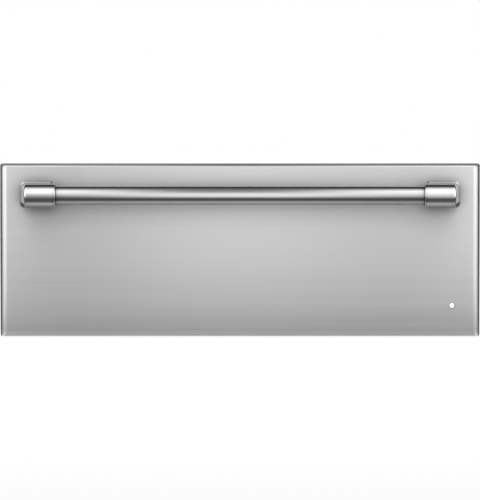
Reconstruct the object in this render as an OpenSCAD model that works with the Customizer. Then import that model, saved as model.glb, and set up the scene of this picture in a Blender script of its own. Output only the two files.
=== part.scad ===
// Countertop warming drawer with a 30-inch-class stainless front.
// X runs across the front, the front faces -Y, Z is up, and z = 0 is the surface it stands on.

/* [Drawer front] */
// Width of the drawer front
front_w = 756; // [730:1:800]
// Height of the drawer front
front_h = 271; // [265:1:300]
// Depth of the folded front, from its face to its rear edge
front_d = 34; // [31:0.5:45]
// Thickness of the stainless skin
skin_t = 1; // [0.8:0.1:1.5]
// Outer radius of the bends at the left and right edges
side_bend_r = 8.5; // [4:0.5:14]
// Outer radius of the bends at the top and bottom edges
edge_bend_r = 1.8; // [1.6:0.1:3]
// Corner radius of the front's outline
front_corner_r = 2.5; // [1.6:0.1:4]
// Width of the lips turned in at the rear of the skin
skin_lip = 5; // [3:0.5:6]
// Height of the front's lower edge above the standing surface
front_lift = 2.5; // [1.5:0.5:6]
// Gap between the closed front and the front frame
front_gap = 3.5; // [2.5:0.1:6]
// Overlap of the inner tray past the cavity mouth on each side
tray_over = 12; // [10.5:0.5:13]
// Thickness of the inner tray's sheet
tray_t = 1; // [0.8:0.1:1.2]
// Width of the tray flange that is bonded to the skin
tray_flange = 5; // [4:0.5:6]

/* [Handle] */
// Distance of the handle's ends inside the front's left and right edges
handle_in = 40.8; // [32:0.1:60]
// Distance of the handle's axis below the front's top edge
handle_drop = 47.8; // [40:0.1:60]
// Distance of the handle's axis in front of the skin
handle_reach = 52; // [44:0.5:65]
// Diameter of the handle bar
bar_dia = 29; // [25:0.1:30]
// Wall of the handle bar's tube
bar_wall = 1.5; // [1:0.1:3]
// Diameter of the end caps
cap_dia = 35.4; // [34:0.1:40]
// Length of the end caps
cap_len = 48.5; // [44:0.5:60]
// Thickness of the end caps' closed end
cap_end = 10; // [9:0.5:14]
// Rounding of the end caps' outer rim
cap_round = 3; // [1:0.1:4]
// Width of a post's foot on the skin
post_foot_w = 55; // [48:0.5:58]
// Height of a post's foot on the skin
post_foot_h = 42.5; // [38:0.5:48]
// Corner radius of a post's foot
post_foot_r = 7; // [4:0.5:10]
// Width of a post's neck at the cap
post_neck_w = 44; // [38:0.5:48]
// Height of a post's neck at the cap
post_neck_h = 30; // [26:0.5:33]
// Outward shift of a post's foot from its cap's middle
post_shift = 6.2; // [0:0.1:7]
// Radius of the handle screws
handle_screw_r = 2.5; // [2:0.1:3]
// Spacing of the two screws in a post
handle_screw_gap = 27.5; // [27:0.5:32]
// Outer radius of the washers under the handle screws
washer_r = 6; // [5:0.1:6.5]

/* [Indicator light] */
// Distance of the light from the front's right edge
light_in = 44; // [42:0.5:50]
// Height of the light above the front's lower edge
light_up = 47.9; // [45:0.1:70]
// Radius of the light pipe
pipe_r = 4; // [3:0.1:4.2]
// Wall of the ring round the light pipe
ring_wall = 0.8; // [0.6:0.1:1]
// How far the light stands proud of the skin
light_proud = 0.6; // [0.3:0.1:1.5]

/* [Front frame] */
// Distance of the frame's edge inside the front's outline
frame_in = 6; // [5.5:0.5:10]
// Thickness of the frame's sheet
frame_t = 1.5; // [1.2:0.1:2]
// Frame overhang past the casing's left and right walls
frame_over_x = 12; // [10:0.5:14]
// Frame overhang below the casing
frame_over_low = 10; // [8:0.5:16]
// Frame overhang above the casing
frame_over_top = 14; // [10:0.5:20]
// Radius of the cabinet screw holes
mount_hole_r = 2.5; // [2:0.1:3]
// Height between the two cabinet screw holes of a side
mount_hole_gap = 155; // [120:1:180]
// Width of the gasket round the cavity mouth
gasket_w = 6; // [4:0.5:7]
// Distance of the gasket from the cavity mouth
gasket_in = 1.5; // [1:0.1:3]

/* [Casing] */
// Thickness of the casing's galvanised sheet
case_t = 1; // [0.8:0.1:1.5]
// Width of the flanges turned in on the side panels
case_flange = 12; // [10:0.5:16]
// Height of the base pan's front and rear flanges
base_flange = 14; // [10:0.5:18]
// Width of the compartment on each side of the cavity
side_space = 48; // [46:0.5:60]
// Space between the casing's underside and the cavity floor
floor_space = 25; // [22:0.5:40]
// Space between the cavity roof and the casing's top
roof_space = 31; // [26:0.5:40]
// Space between the cavity and the rear panel
rear_space = 52; // [48:1:80]
// Height of the stiffening beads in the top cover
bead_h = 2; // [1:0.1:3]
// Number of stiffening beads in the top cover
bead_count = 4; // [2:1:6]
// Width of one ventilation slot
vent_slot_w = 4; // [3:0.1:5]
// Length of one ventilation slot
vent_slot_l = 40; // [25:1:60]
// Number of ventilation slots in a row
vent_slot_count = 9; // [4:1:12]

/* [Cavity] */
// Thickness of the cavity liner
liner_t = 1; // [0.8:0.1:1.2]
// Width of the liner's front flange
liner_flange = 9; // [8:0.5:11]
// Inner corner radius of the liner
liner_r = 6; // [3:0.5:8]
// Thickness of the glass wool beside the cavity on the control side
wool_right_t = 7; // [4:0.5:8]
// Thickness of the glass wool behind the cavity
wool_rear_t = 22; // [12:1:24]

/* [Slides] */
// Length of the slides
slide_len = 500; // [450:1:600]
// Travel of the drawer
travel = 480; // [400:1:480]
// Distance of the slides behind the front frame
slide_setback = 3; // [1:0.5:6]
// Free length behind the slides
slide_rear_gap = 17; // [14:1:40]
// Distance of the slides' middle below the pan's rim
slide_drop = 75; // [60:0.5:80]
// Radius of the slide balls
ball_r = 2.4; // [2.2:0.05:2.5]
// Running clearance of a ball in its race
ball_play = 0.1; // [0.05:0.01:0.12]
// Thickness of the slides' steel
slide_t = 1.2; // [1.1:0.05:1.3]
// Thickness of the ball cages
cage_t = 0.6; // [0.5:0.05:0.7]
// Length of a ball cage
cage_len = 220; // [180:1:230]
// Distance between balls in a cage
ball_pitch = 27; // [18:0.5:40]

/* [Drawer frame] */
// Thickness of the drawer frame's sheet
arm_t = 1.5; // [1.2:0.1:2]
// Width of the top flange that carries the pan
arm_flange = 12; // [10:0.5:13]
// Width of the arm's flange at the front
arm_front_w = 30; // [24:0.5:36]
// Height of the rear cross bar
bar_h = 36; // [24:0.5:50]

/* [Pan and rack] */
// Distance of the pan's rim below the cavity roof
rim_drop = 25; // [23:0.5:30]
// Height of the pan's floor above the cavity floor
pan_lift = 33; // [31:0.5:60]
// Thickness of the pan's steel
pan_t = 1.2; // [0.8:0.1:1.5]
// Clearance between the pan's wall and the arm flanges
pan_gap = 2.3; // [1:0.1:4]
// Distance of the pan's wall behind the drawer front
pan_setback = 26; // [24:0.5:40]
// Draft of the pan's walls, as the inward lean at the floor
pan_lean = 6; // [3:0.5:10]
// Corner radius of the pan at its rim
pan_corner_r = 38; // [25:1:50]
// Radius between the pan's floor and its walls
pan_floor_r = 16; // [8:1:24]
// Height of the rack's wires above the pan's floor
rack_lift = 26; // [18:0.5:40]
// Length of the rack across the pan
rack_w = 250; // [200:1:255]
// Radius of the rack's rim wire
rack_rim_r = 2.5; // [2:0.1:3]
// Radius of the rack's cross wires
rack_wire_r = 1.5; // [1.2:0.1:1.8]
// Distance between the rack's cross wires
rack_pitch = 24; // [20:1:34]

/* [Heater and controls] */
// Radius of the heating element's sheath
element_r = 4; // [3:0.1:5]
// Height of the element's axis above the cavity floor
element_up = 14; // [12:0.5:16]
// Bend radius of the element, at its axis
element_bend_r = 32; // [20:1:50]
// Half distance between the element's two outer runs
element_half_w = 225; // [180:1:240]
// Half distance between the element's two terminals
element_half_end = 45; // [40:1:80]
// Diameter of the temperature knob
knob_dia = 30; // [26:0.5:32]
// Height of the temperature knob
knob_h = 17; // [14:0.5:19]
// Height of the knob's axis above the cavity floor
knob_up = 107; // [90:1:130]
// Radius of the thermostat's shaft
shaft_r = 3; // [2.5:0.1:3.5]
// Turning range of the temperature knob
knob_turn = 270; // [180:5:300]
// Travel of the humidity vent's shutter
vent_travel = 12; // [8:0.5:14]

/* [Rear] */
// Width of the power inlet's cut-out
inlet_w = 28; // [27:0.5:32]
// Height of the power inlet's cut-out
inlet_h = 20; // [19.5:0.5:26]
// Height of the power inlet's middle above the casing's underside
inlet_up = 50; // [40:1:120]

/* [Feet and screws] */
// Radius of a rubber foot at its sole
foot_r = 16; // [12:0.5:20]
// Distance of the feet from the casing's edges
foot_in = 40; // [36:1:80]
// Radius of the small screws
screw_r = 1.9; // [1.5:0.1:2.1]
// Radius of the small screws' heads
head_r = 3.8; // [3:0.1:4]

/* [Hidden] */
$fn = 48;
fit = 0.05;          // play of a shaft or screw in its own hole, on the radius
seat = 0.1;          // gap between curved faces that seat on each other
run = 0.4;           // least gap between bodies that move past each other
fold_r = 1.5;        // mid-line bend radius of the folded sheets
past = 1;            // how far a cut reaches past the faces it opens

// Heads, ends and threads of the screws
head_high = 0.6;     // height of a head, as a part of its radius
head_side = 0.55;    // upright part of a head's side
head_room = 0.6;     // room round a head
bite = 2.5;          // length of a small screw past the sheets it joins
case_screw_len = 6;
foot_screw_len = 10;
washer_t = 1.2;

// Heights
front_z = front_lift;
front_top = front_lift + front_h;
frame_z = front_lift + frame_in;
frame_top = front_top - frame_in;
case_z = frame_z + frame_over_low;
case_top = frame_top - frame_over_top;
cav_z = case_z + floor_space;
cav_top = case_top - roof_space;
rim_z = cav_top - rim_drop;
slide_z = rim_z - slide_drop;
handle_z = front_top - handle_drop;

// Half widths
frame_x = front_w / 2 - frame_in;
case_x = frame_x - frame_over_x;
cav_x = case_x - case_t - side_space - liner_t;
tray_x = cav_x + tray_over;

// Slide section, u from the wall and v from the slide's middle
race_r = ball_r + ball_play;
race_mid_r = race_r + slide_t / 2;
race_step = 2 * race_r + slide_t;
slide_half_h = 22.85;
slide_w = 12.7;
slide_gap = 0.3;     // gap between a cage and the members on its two sides
race_1 = [6.2, slide_half_h - slide_t - race_r];
race_2 = race_1 + race_step * [cos(-60), sin(-60)];
cage_1_u = slide_t + slide_gap;
middle_u = cage_1_u + cage_t + slide_gap;
cage_2_u = middle_u + slide_t + slide_gap;
arm_x = cav_x - slide_w;

// Depths
cav_d = slide_len + slide_setback + slide_rear_gap;
case_d = cav_d + liner_t + rear_space + case_t;
inlet_lip = 1.5;
inlet_deep = 24;     // depth of the inlet behind the rear panel
all_d = cap_dia / 2 + handle_reach + front_d + front_gap + frame_t + case_d + inlet_lip;
bar_y = cap_dia / 2 - all_d / 2;
skin_y = bar_y + handle_reach;
tray_y = skin_y + front_d;
frame_y = tray_y + front_gap;
case_y = frame_y + frame_t;
back_y = case_y + case_d;
cav_back = case_y + cav_d;
slide_y = case_y + slide_setback;
slide_end = slide_y + slide_len;

// Handle
handle_len = front_w - 2 * handle_in;
cap_mid_x = handle_len / 2 - cap_len / 2;
bar_half = handle_len / 2 - cap_end;
post_x = cap_mid_x + post_shift;
screw_xs = [bar_half + cap_end / 2 - handle_screw_gap, bar_half + cap_end / 2];
handle_screw_end = bar_y - bar_dia / 2 + bar_wall + 6;

// Indicator light
light_x = front_w / 2 - light_in;
light_z = front_z + light_up;
ring_r = pipe_r + fit + ring_wall;
pipe_end = frame_y - 2.4;

// Pan
arm_in = arm_x - arm_t;
pan_x = arm_in - arm_flange - pan_gap;
pan_y = tray_y + pan_setback;
pan_rim = arm_flange + pan_gap - 1;
cross_in = 22;       // cross bar ahead of the slides' rear ends
cross_gap = 3;       // gap between the pan's rim and the cross bar
cross_flange = 14;
cross_drop = 22;     // cross bar's upper flange below the pan's rim
cross_slot = [64, 18];
cross_slot_pitch = 100;
arm_slot = [60, 28];
arm_slot_pitch = 95;
arm_drop = 20;       // arm's lower flange below the slides' middle
arm_low_flange = 8;
arm_return = 30;     // length of the front flange's return along the arm
arm_screw_drop = 22; // upper front screw below the pan's rim
arm_screw_gap = 50;
cross_y = slide_end - cross_in;
cross_top = rim_z - cross_drop;
pan_end = cross_y - cross_gap - pan_rim;
pan_len = pan_end - pan_y;
pan_floor = cav_z + pan_lift;
rack_x = pan_x - pan_lean - pan_floor_r - rack_w;
rack_y = pan_y + pan_lean + pan_floor_r + 4;
rack_len = pan_len - 2 * (pan_lean + pan_floor_r + 4);
rack_z = pan_floor + pan_t + rack_lift;

// Heater and controls
element_z = cav_z + element_up;
element_in = 60;     // element's outer runs inside the cavity's front and rear
element_front = case_y + element_in;
element_rear = cav_back - element_in;
knob_x = tray_x + knob_dia / 2 + 4;
knob_z = cav_z + knob_up;
thermo_w = 30;
thermo_h = 42;
thermo_d = 26;
tab_w = 8;           // width of a push-on terminal
tab_len = 8;
bush_r = 5;
lamp_r = 4.6;
lamp_len = 22;

// Humidity vent in the tray's rear face
vent_z = rim_z + 13;
vent_h = 14;
vent_w = 200;
vent_hole_w = 10;
vent_hole_h = 8;
vent_hole_pitch = 25;
shutter_t = 1;

// Rear
inlet_x = case_x - 45;
inlet_z = case_z + inlet_up;
inlet_screw_x = 20;
inlet_head_r = 3;
inlet_sink = 0.6;

// Screws of the casing and the slides
side_screw_in = 30;
rear_screw_in = 22;
slide_screw_in = 10;
arm_screw_in = 20;
side_screw_ys = [for (i = [0 : 3]) case_y + side_screw_in + i * (case_d - 2 * side_screw_in) / 3];
edge_screw_xs = [for (i = [-1 : 1]) i * (case_x - side_screw_in)];
rear_screw_zs = [case_z + rear_screw_in, (case_z + case_top) / 2, case_top - rear_screw_in];
flange_screw_x = case_x - case_flange / 2 - 1;
top_screw_y = back_y - case_flange / 2 - 2;
low_screw_z = case_z + base_flange - 5;
liner_screw_x = cav_x / 2;
liner_screw_zs = [cav_z - liner_flange / 2, cav_top + liner_flange / 2];
slide_screw_ys = [slide_y + slide_screw_in, slide_end - (slide_len - cage_len) / 2 + 1.5 * slide_screw_in,
    slide_end - 2 * slide_screw_in];
arm_screw_ys = [for (i = [0 : 2]) slide_y + arm_screw_in + i * (slide_len - 3 * arm_screw_in) / 2];
mount_x = frame_x - frame_over_x / 2;
mount_zs = [for (s = [-1, 1]) (case_z + case_top) / 2 + s * mount_hole_gap / 2];

// ---- Outlines and small shapes ----

function unit(v) = v / norm(v);

// Points of an arc about c
function arc(c, r, a0, a1, n = 8) =
    [for (i = [0 : n]) let (a = a0 + (a1 - a0) * i / n) c + r * [cos(a), sin(a)]];

// Mid-line through corner points q, with every inner corner rounded to radius r
function fold(q, r = fold_r, n = 4) = concat([q[0]],
    [for (i = [1 : len(q) - 2]) each
        let (a = unit(q[i - 1] - q[i]), b = unit(q[i + 1] - q[i]),
            h = acos(a * b) / 2, c = q[i] + unit(a + b) * r / sin(h),
            p = q[i] + a * r / tan(h) - c, s = q[i] + b * r / tan(h) - c,
            a0 = atan2(p[1], p[0]), d = (atan2(s[1], s[0]) - a0 + 540) % 360 - 180)
        arc(c, r, a0, a0 + d, n)],
    [q[len(q) - 1]]);

function normal_at(p, i) =
    let (d = unit(p[min(i + 1, len(p) - 1)] - p[max(i - 1, 0)])) [-d[1], d[0]];

// Closed outline of a sheet of thickness t that follows mid-line p
function strip(p, t) = concat(
    [for (i = [0 : len(p) - 1]) p[i] + normal_at(p, i) * t / 2],
    [for (i = [len(p) - 1 : -1 : 0]) p[i] - normal_at(p, i) * t / 2]);

// Rectangle of half size [x, y] about c with corners of radius r
function round_rect(x, y, r, n = 6, c = [0, 0]) = concat(
    arc(c + [x - r, y - r], r, 0, 90, n), arc(c + [r - x, y - r], r, 90, 180, n),
    arc(c + [r - x, r - y], r, 180, 270, n), arc(c + [x - r, r - y], r, 270, 360, n));

module box(lo, hi) translate(lo) cube(hi - lo);

// Outline given in x and z, from y0 to y1
module along_y(y0, y1) translate([0, y1, 0]) rotate([90, 0, 0]) linear_extrude(y1 - y0) children();

// Outline given in y and z, from x0 to x1
module along_x(x0, x1) translate([x0, 0, 0]) rotate([90, 0, 90]) linear_extrude(x1 - x0) children();

// Outline given in x and y, from z0 to z1
module linear_extrude_between(z0, z1) translate([0, 0, z0]) linear_extrude(z1 - z0) children();

// Rod along Y, X or Z
module rod_y(x, z, r, y0, y1) translate([x, y0, z]) rotate([-90, 0, 0]) cylinder(r = r, h = y1 - y0);
module rod_x(y, z, r, x0, x1) translate([x0, y, z]) rotate([0, 90, 0]) cylinder(r = r, h = x1 - x0);
module rod_z(x, y, r, z0, z1) translate([x, y, z0]) cylinder(r = r, h = z1 - z0);

// Flat plate with round corners, from y0 to y1
module plate_y(x0, x1, z0, z1, r, y0, y1)
    along_y(y0, y1)
        polygon(round_rect((x1 - x0) / 2, (z1 - z0) / 2, r, 6, [(x0 + x1) / 2, (z0 + z1) / 2]));

module both_sides() {
    children();
    mirror([1, 0, 0]) children();
}

// Pan-head screw along -Z with the underside of its head at z = 0
module screw(length, r = screw_r, head = head_r) {
    head_h = head * head_high;
    translate([0, 0, -length]) cylinder(r = r, h = length + head_h / 2);
    cylinder(r = head, h = head_h * head_side);
    translate([0, 0, head_h * head_side])
        cylinder(r1 = head, r2 = head * 0.6, h = head_h * (1 - head_side));
}

module tube_in_plane(path, r, x, sides = 8) {
    // Tube whose mid-line is a list of [y, z] in the plane x
    rings = [for (i = [0 : len(path) - 1]) let (n = normal_at(path, i))
        [for (k = [0 : sides - 1]) let (a = 360 * k / sides)
            [x + r * sin(a), path[i][0] + r * cos(a) * n[0], path[i][1] + r * cos(a) * n[1]]]];
    last = len(path) - 1;
    polyhedron(points = [for (g = rings) each g],
        faces = concat([[for (k = [0 : sides - 1]) k]],
            [for (i = [0 : last - 1], k = [0 : sides - 1]) let (j = (k + 1) % sides)
                [i * sides + k, (i + 1) * sides + k, (i + 1) * sides + j, i * sides + j]],
            [[for (k = [sides - 1 : -1 : 0]) last * sides + k]]));
}

// ---- Drawer front ----

// Plan outline of the front, drawn in by d on its face and sides
function plan_outline(d, rear) = concat(
    [[front_w / 2 - d, rear], [d - front_w / 2, rear]],
    arc([side_bend_r - front_w / 2, skin_y + side_bend_r], side_bend_r - d, 180, 270, 12),
    arc([front_w / 2 - side_bend_r, skin_y + side_bend_r], side_bend_r - d, 270, 360, 12));

// Side outline of the front in y and z, drawn in by d
function side_outline(d, rear) = concat(
    [[rear, front_z + d], [rear, front_top - d]],
    arc([skin_y + edge_bend_r, front_top - edge_bend_r], edge_bend_r - d, 90, 180, 5),
    arc([skin_y + edge_bend_r, front_z + edge_bend_r], edge_bend_r - d, 180, 270, 5));

module front_block(d, rear)
    intersection() {
        linear_extrude(front_top + 1) polygon(plan_outline(d, rear));
        along_x(-front_w, front_w) polygon(side_outline(d, rear));
        along_y(skin_y - 1, rear + 1)
            polygon(round_rect(front_w / 2 - d, front_h / 2 - d, front_corner_r - d, 4,
                [0, front_z + front_h / 2]));
    }

module handle_screw_holes(r)
    both_sides()
        for (x = screw_xs)
            rod_y(x, handle_z, r, skin_y - 1, skin_y + skin_t + 1);

module front_skin()
    color("silver")
        difference() {
            front_block(0, tray_y);
            front_block(skin_t, tray_y - skin_t);
            box([skin_lip - front_w / 2, skin_y + skin_t + 1, front_z + skin_lip],
                [front_w / 2 - skin_lip, tray_y + 1, front_top - skin_lip]);
            handle_screw_holes(handle_screw_r + 0.3);
            rod_y(light_x, light_z, ring_r + fit, skin_y - 1, skin_y + skin_t + 1);
        }

// Positions of the vent's holes, and of its shutter's guide rivets
vent_hole_xs = [for (i = [-3.5 : 3.5]) i * vent_hole_pitch - vent_travel / 2];
vent_rivet_xs = [-vent_w / 2 + 14, vent_w / 2 - 14 - vent_travel];
arm_flange_screw_zs = [rim_z - arm_screw_drop, rim_z - arm_screw_drop - arm_screw_gap];

// Steam slots in the tray's upper wall
tray_slot_w = 18;
tray_slot_pitch = 30;
tray_slot_y = 14;

module front_tray()
    color("gainsboro")
        difference() {
            union() {
                plate_y(-tray_x, tray_x, cav_z - tray_over, cav_top + tray_over, 6, skin_y + skin_t, tray_y);
                plate_y(-tray_x - tray_flange, tray_x + tray_flange, cav_z - tray_over - tray_flange,
                    cav_top + tray_over + tray_flange, 8, skin_y + skin_t, skin_y + skin_t + tray_t);
            }
            plate_y(tray_t - tray_x, tray_x - tray_t, cav_z - tray_over + tray_t,
                cav_top + tray_over - tray_t, 6 - tray_t, skin_y, tray_y - tray_t);
            for (x = vent_hole_xs)
                plate_y(x - vent_hole_w / 2, x + vent_hole_w / 2, vent_z - vent_hole_h / 2,
                    vent_z + vent_hole_h / 2, 3, tray_y - 3, tray_y + past);
            for (x = vent_rivet_xs)
                rod_y(x, vent_z, 1.6 + fit, tray_y - 3, tray_y + 1);
            for (i = [-4 : 4], x = [i * tray_slot_pitch])
                box([x - tray_slot_w / 2, skin_y + tray_slot_y, cav_top + tray_over - 3],
                    [x + tray_slot_w / 2, skin_y + tray_slot_y + 4, cav_top + tray_over + past]);
            both_sides() {
                for (z = arm_flange_screw_zs)
                    rod_y(arm_in - arm_front_w / 2, z, screw_r + fit, tray_y - 3, tray_y + 1);
                for (x = screw_xs)
                    rod_y(x, handle_z, washer_r + 1, skin_y, skin_y + skin_t + tray_t + 1);
            }
        }

module front_wool()
    color("khaki")
        difference() {
            plate_y(tray_t + 0.5 - tray_x, tray_x - tray_t - 0.5, cav_z - tray_over + tray_t + 0.5,
                vent_z - 10, 5, skin_y + skin_t + 0.3, tray_y - tray_t - 0.3);
            both_sides() {
                for (z = arm_flange_screw_zs)
                    rod_y(arm_in - arm_front_w / 2, z, head_r + 1, tray_y - 10, tray_y);
                plate_y(screw_xs[0] - washer_r - 3, tray_x, handle_z - washer_r - 3, vent_z, 2, skin_y, tray_y);
            }
        }

module light_pipe()
    color("white")
        union() {
            rod_y(light_x, light_z, pipe_r, skin_y - light_proud, pipe_end);
            rod_y(light_x, light_z, ring_r + 0.6, skin_y + skin_t + 3, skin_y + skin_t + 4.5);
        }

module light_ring()
    color("dimgray")
        difference() {
            rod_y(light_x, light_z, ring_r, skin_y - light_proud * 0.7, skin_y + skin_t + 3);
            rod_y(light_x, light_z, pipe_r + fit, skin_y - 2, skin_y + skin_t + 4);
        }

// ---- Handle ----

module handle_bar()
    color("silver")
        difference() {
            rod_x(bar_y, handle_z, bar_dia / 2, -bar_half, bar_half);
            rod_x(bar_y, handle_z, bar_dia / 2 - bar_wall, -bar_half - 1, bar_half + 1);
            both_sides()
                rod_y(screw_xs[0], handle_z, handle_screw_r + fit, bar_y, bar_y + bar_dia);
        }

// Half section of a cap: x is the radius and y runs from its inner to its outer end
cap_profile = concat([[0, 0], [cap_dia / 2 - 0.8, 0], [cap_dia / 2, 0.8]],
    arc([cap_dia / 2 - cap_round, cap_len - cap_round], cap_round, 0, 90, 8), [[0, cap_len]]);

module handle_cap()
    difference() {
        translate([handle_len / 2 - cap_len, bar_y, handle_z]) rotate([0, 90, 0])
            rotate_extrude($fn = 64) polygon(cap_profile);
        rod_x(bar_y, handle_z, bar_dia / 2 + fit, 0, bar_half);
        for (x = screw_xs)
            rod_y(x, handle_z, handle_screw_r + fit, handle_screw_end - 0.5, bar_y + cap_dia);
    }

module left_handle_cap() color("gainsboro") mirror([1, 0, 0]) handle_cap();
module right_handle_cap() color("gainsboro") handle_cap();

// The foot lies on the skin and the neck is cut to the cap's curve
module handle_post()
    difference() {
        hull() {
            along_y(skin_y - 1.5, skin_y)
                polygon(round_rect(post_foot_w / 2, post_foot_h / 2, post_foot_r, 7, [post_x, handle_z]));
            along_y(bar_y + 6, bar_y + 8)
                polygon(round_rect(post_neck_w / 2, post_neck_h / 2, post_foot_r, 7, [cap_mid_x, handle_z]));
        }
        rod_x(bar_y, handle_z, cap_dia / 2 + seat, post_x - post_foot_w, post_x + post_foot_w);
        for (x = screw_xs)
            rod_y(x, handle_z, handle_screw_r + fit, bar_y, skin_y + 1);
    }

module left_handle_post() color("silver") mirror([1, 0, 0]) handle_post();
module right_handle_post() color("silver") handle_post();

module handle_screws()
    color("darkgray")
        both_sides()
            for (x = screw_xs)
                translate([x, skin_y + skin_t + washer_t, handle_z]) rotate([-90, 0, 0])
                    screw(skin_y + skin_t + washer_t - handle_screw_end, handle_screw_r, washer_r - 1.4);

module handle_washers()
    color("gray")
        both_sides()
            for (x = screw_xs)
                difference() {
                    rod_y(x, handle_z, washer_r, skin_y + skin_t, skin_y + skin_t + washer_t);
                    rod_y(x, handle_z, handle_screw_r + fit, skin_y, skin_y + skin_t + 2);
                }

// ---- Drawer frame, pan and rack ----

module arm()
    difference() {
        union() {
            along_y(tray_y, slide_end)
                polygon(strip(fold([[arm_in - arm_flange, rim_z - arm_t / 2],
                    [arm_x - arm_t / 2, rim_z - arm_t / 2], [arm_x - arm_t / 2, slide_z - arm_drop],
                    [arm_in - arm_low_flange, slide_z - arm_drop]]), arm_t));
            linear_extrude_between(slide_z - arm_drop + 6, rim_z - 4)
                polygon(strip(fold([[arm_in - arm_front_w, tray_y + arm_t / 2],
                    [arm_x - arm_t / 2, tray_y + arm_t / 2],
                    [arm_x - arm_t / 2, tray_y + arm_return]]), arm_t));
        }
        for (z = arm_flange_screw_zs)
            rod_y(arm_in - arm_front_w / 2, z, screw_r + fit, tray_y - 1, tray_y + 3);
        for (y = arm_screw_ys)
            rod_x(y, slide_z, screw_r + fit, arm_in - 2, arm_x + 1);
        for (y = [slide_y + arm_slot_pitch : arm_slot_pitch : slide_end - arm_slot_pitch])
            along_x(arm_in - past, arm_x + past)
                polygon(round_rect(arm_slot[0] / 2, arm_slot[1] / 2, arm_slot[1] / 2, 8,
                    [y + arm_screw_in, (slide_z + slide_half_h + rim_z) / 2 - 7]));
    }

module left_arm() color("lightgray") mirror([1, 0, 0]) arm();
module right_arm() color("lightgray") arm();

module cross_bar()
    color("lightgray")
        difference() {
            union() {
                along_x(-arm_in, arm_in)
                    polygon(strip(fold([[cross_y + cross_flange, cross_top], [cross_y + arm_t / 2, cross_top],
                        [cross_y + arm_t / 2, cross_top - bar_h],
                        [cross_y + cross_flange, cross_top - bar_h]]), arm_t));
                both_sides()
                    box([arm_in - arm_t, cross_y + 2, cross_top - bar_h],
                        [arm_in, cross_y + cross_flange + 4, cross_top]);
            }
            for (i = [-2 : 2], x = [i * cross_slot_pitch])
                plate_y(x - cross_slot[0] / 2, x + cross_slot[0] / 2, cross_top - (bar_h + cross_slot[1]) / 2,
                    cross_top - (bar_h - cross_slot[1]) / 2, cross_slot[1] / 2 - 1,
                    cross_y - past, cross_y + arm_t + past);
        }

module drawer_screws()
    color("darkgray")
        both_sides() {
            for (z = arm_flange_screw_zs)
                translate([arm_in - arm_front_w / 2, tray_y + arm_t, z]) rotate([-90, 0, 0])
                    screw(arm_t + tray_t + bite);
            for (y = arm_screw_ys)
                translate([arm_in, y, slide_z]) rotate([0, -90, 0])
                    screw(arm_t + slide_t + 1.5);
        }

// Solid of the pan's inside or outside: a rounded tub that narrows to its floor
module tub(d)
    hull() {
        linear_extrude_between(rim_z, rim_z + 1) polygon(pan_outline(d, 0, 0));
        for (i = [0 : 4])
            let (a = 90 * i / 4, r = pan_floor_r - d)
                linear_extrude_between(pan_floor + d + r * (1 - cos(a)), pan_floor + d + r * (1 - cos(a)) + 0.2)
                    polygon(pan_outline(d, pan_lean, r * (1 - sin(a))));
    }

// Plan outline of the pan's wall, drawn in by d for the sheet, by lean and by the floor radius
function pan_outline(d, lean, turn) = let (n = d + lean + turn)
    round_rect(pan_x - n, pan_len / 2 - n, max(pan_corner_r - n * 0.5, 4), 7, [0, pan_y + pan_len / 2]);

module pan()
    color("lightsteelblue")
        difference() {
            union() {
                intersection() {
                    tub(0);
                    box([-pan_x - 1, pan_y - 1, 0], [pan_x + 1, pan_end + 1, rim_z + pan_t]);
                }
                linear_extrude_between(rim_z, rim_z + pan_t)
                    polygon(round_rect(pan_x + pan_rim, pan_len / 2 + pan_rim, pan_corner_r + 4, 10,
                        [0, pan_y + pan_len / 2]));
            }
            tub(pan_t);
            linear_extrude_between(rim_z + 0.5, rim_z + 5) polygon(pan_outline(pan_t, 0, 0));
        }

rack_leg_in = 20;    // rack's legs inside its two ends

module wire_rack()
    color("whitesmoke")
        union() {
            for (x = [rack_x + rack_rim_r, rack_x + rack_w - rack_rim_r])
                rod_y(x, rack_z, rack_rim_r, rack_y, rack_y + rack_len);
            for (y = [rack_y + rack_rim_r, rack_y + rack_len - rack_rim_r])
                rod_x(y, rack_z, rack_rim_r, rack_x, rack_x + rack_w);
            for (i = [1 : floor(rack_w / rack_pitch) - 1])
                rod_y(rack_x + i * rack_w / floor(rack_w / rack_pitch), rack_z + rack_rim_r * 0.8, rack_wire_r,
                    rack_y + rack_rim_r, rack_y + rack_len - rack_rim_r);
            rod_x(rack_y + rack_len / 2, rack_z, rack_rim_r, rack_x, rack_x + rack_w);
            for (x = [rack_x + rack_leg_in, rack_x + rack_w - rack_leg_in],
                y = [rack_y + rack_rim_r, rack_y + rack_len - rack_rim_r])
                rod_z(x, y, rack_rim_r * 0.9, pan_floor + pan_t, rack_z);
        }

// ---- Humidity vent ----

module vent_shutter()
    color("silver")
        difference() {
            union() {
                plate_y(-vent_w / 2, vent_w / 2 - vent_travel, vent_z - vent_h / 2, vent_z + vent_h / 2, 3,
                    tray_y + run, tray_y + run + shutter_t);
                plate_y(-12 - vent_travel / 2, 12 - vent_travel / 2, vent_z - 3, vent_z + 3, 2,
                    tray_y + run, tray_y + run + 6);
            }
            for (x = vent_hole_xs)
                if (abs(x + vent_travel / 2) > 20)
                    plate_y(x - vent_hole_w / 2 - vent_travel, x + vent_hole_w / 2 - vent_travel,
                        vent_z - vent_hole_h / 2, vent_z + vent_hole_h / 2, 3, tray_y, tray_y + 8);
            for (x = vent_rivet_xs)
                plate_y(x - vent_travel - 2, x + 2, vent_z - 2, vent_z + 2, 1.9, tray_y, tray_y + 8);
        }

module vent_rivets()
    color("darkgray")
        for (x = vent_rivet_xs) {
            rod_y(x, vent_z, 1.6, tray_y - tray_t, tray_y + run * 2 + shutter_t);
            rod_y(x, vent_z, 3.4, tray_y + run * 2 + shutter_t, tray_y + run * 2 + shutter_t + 1);
        }

// ---- Slides ----

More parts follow.
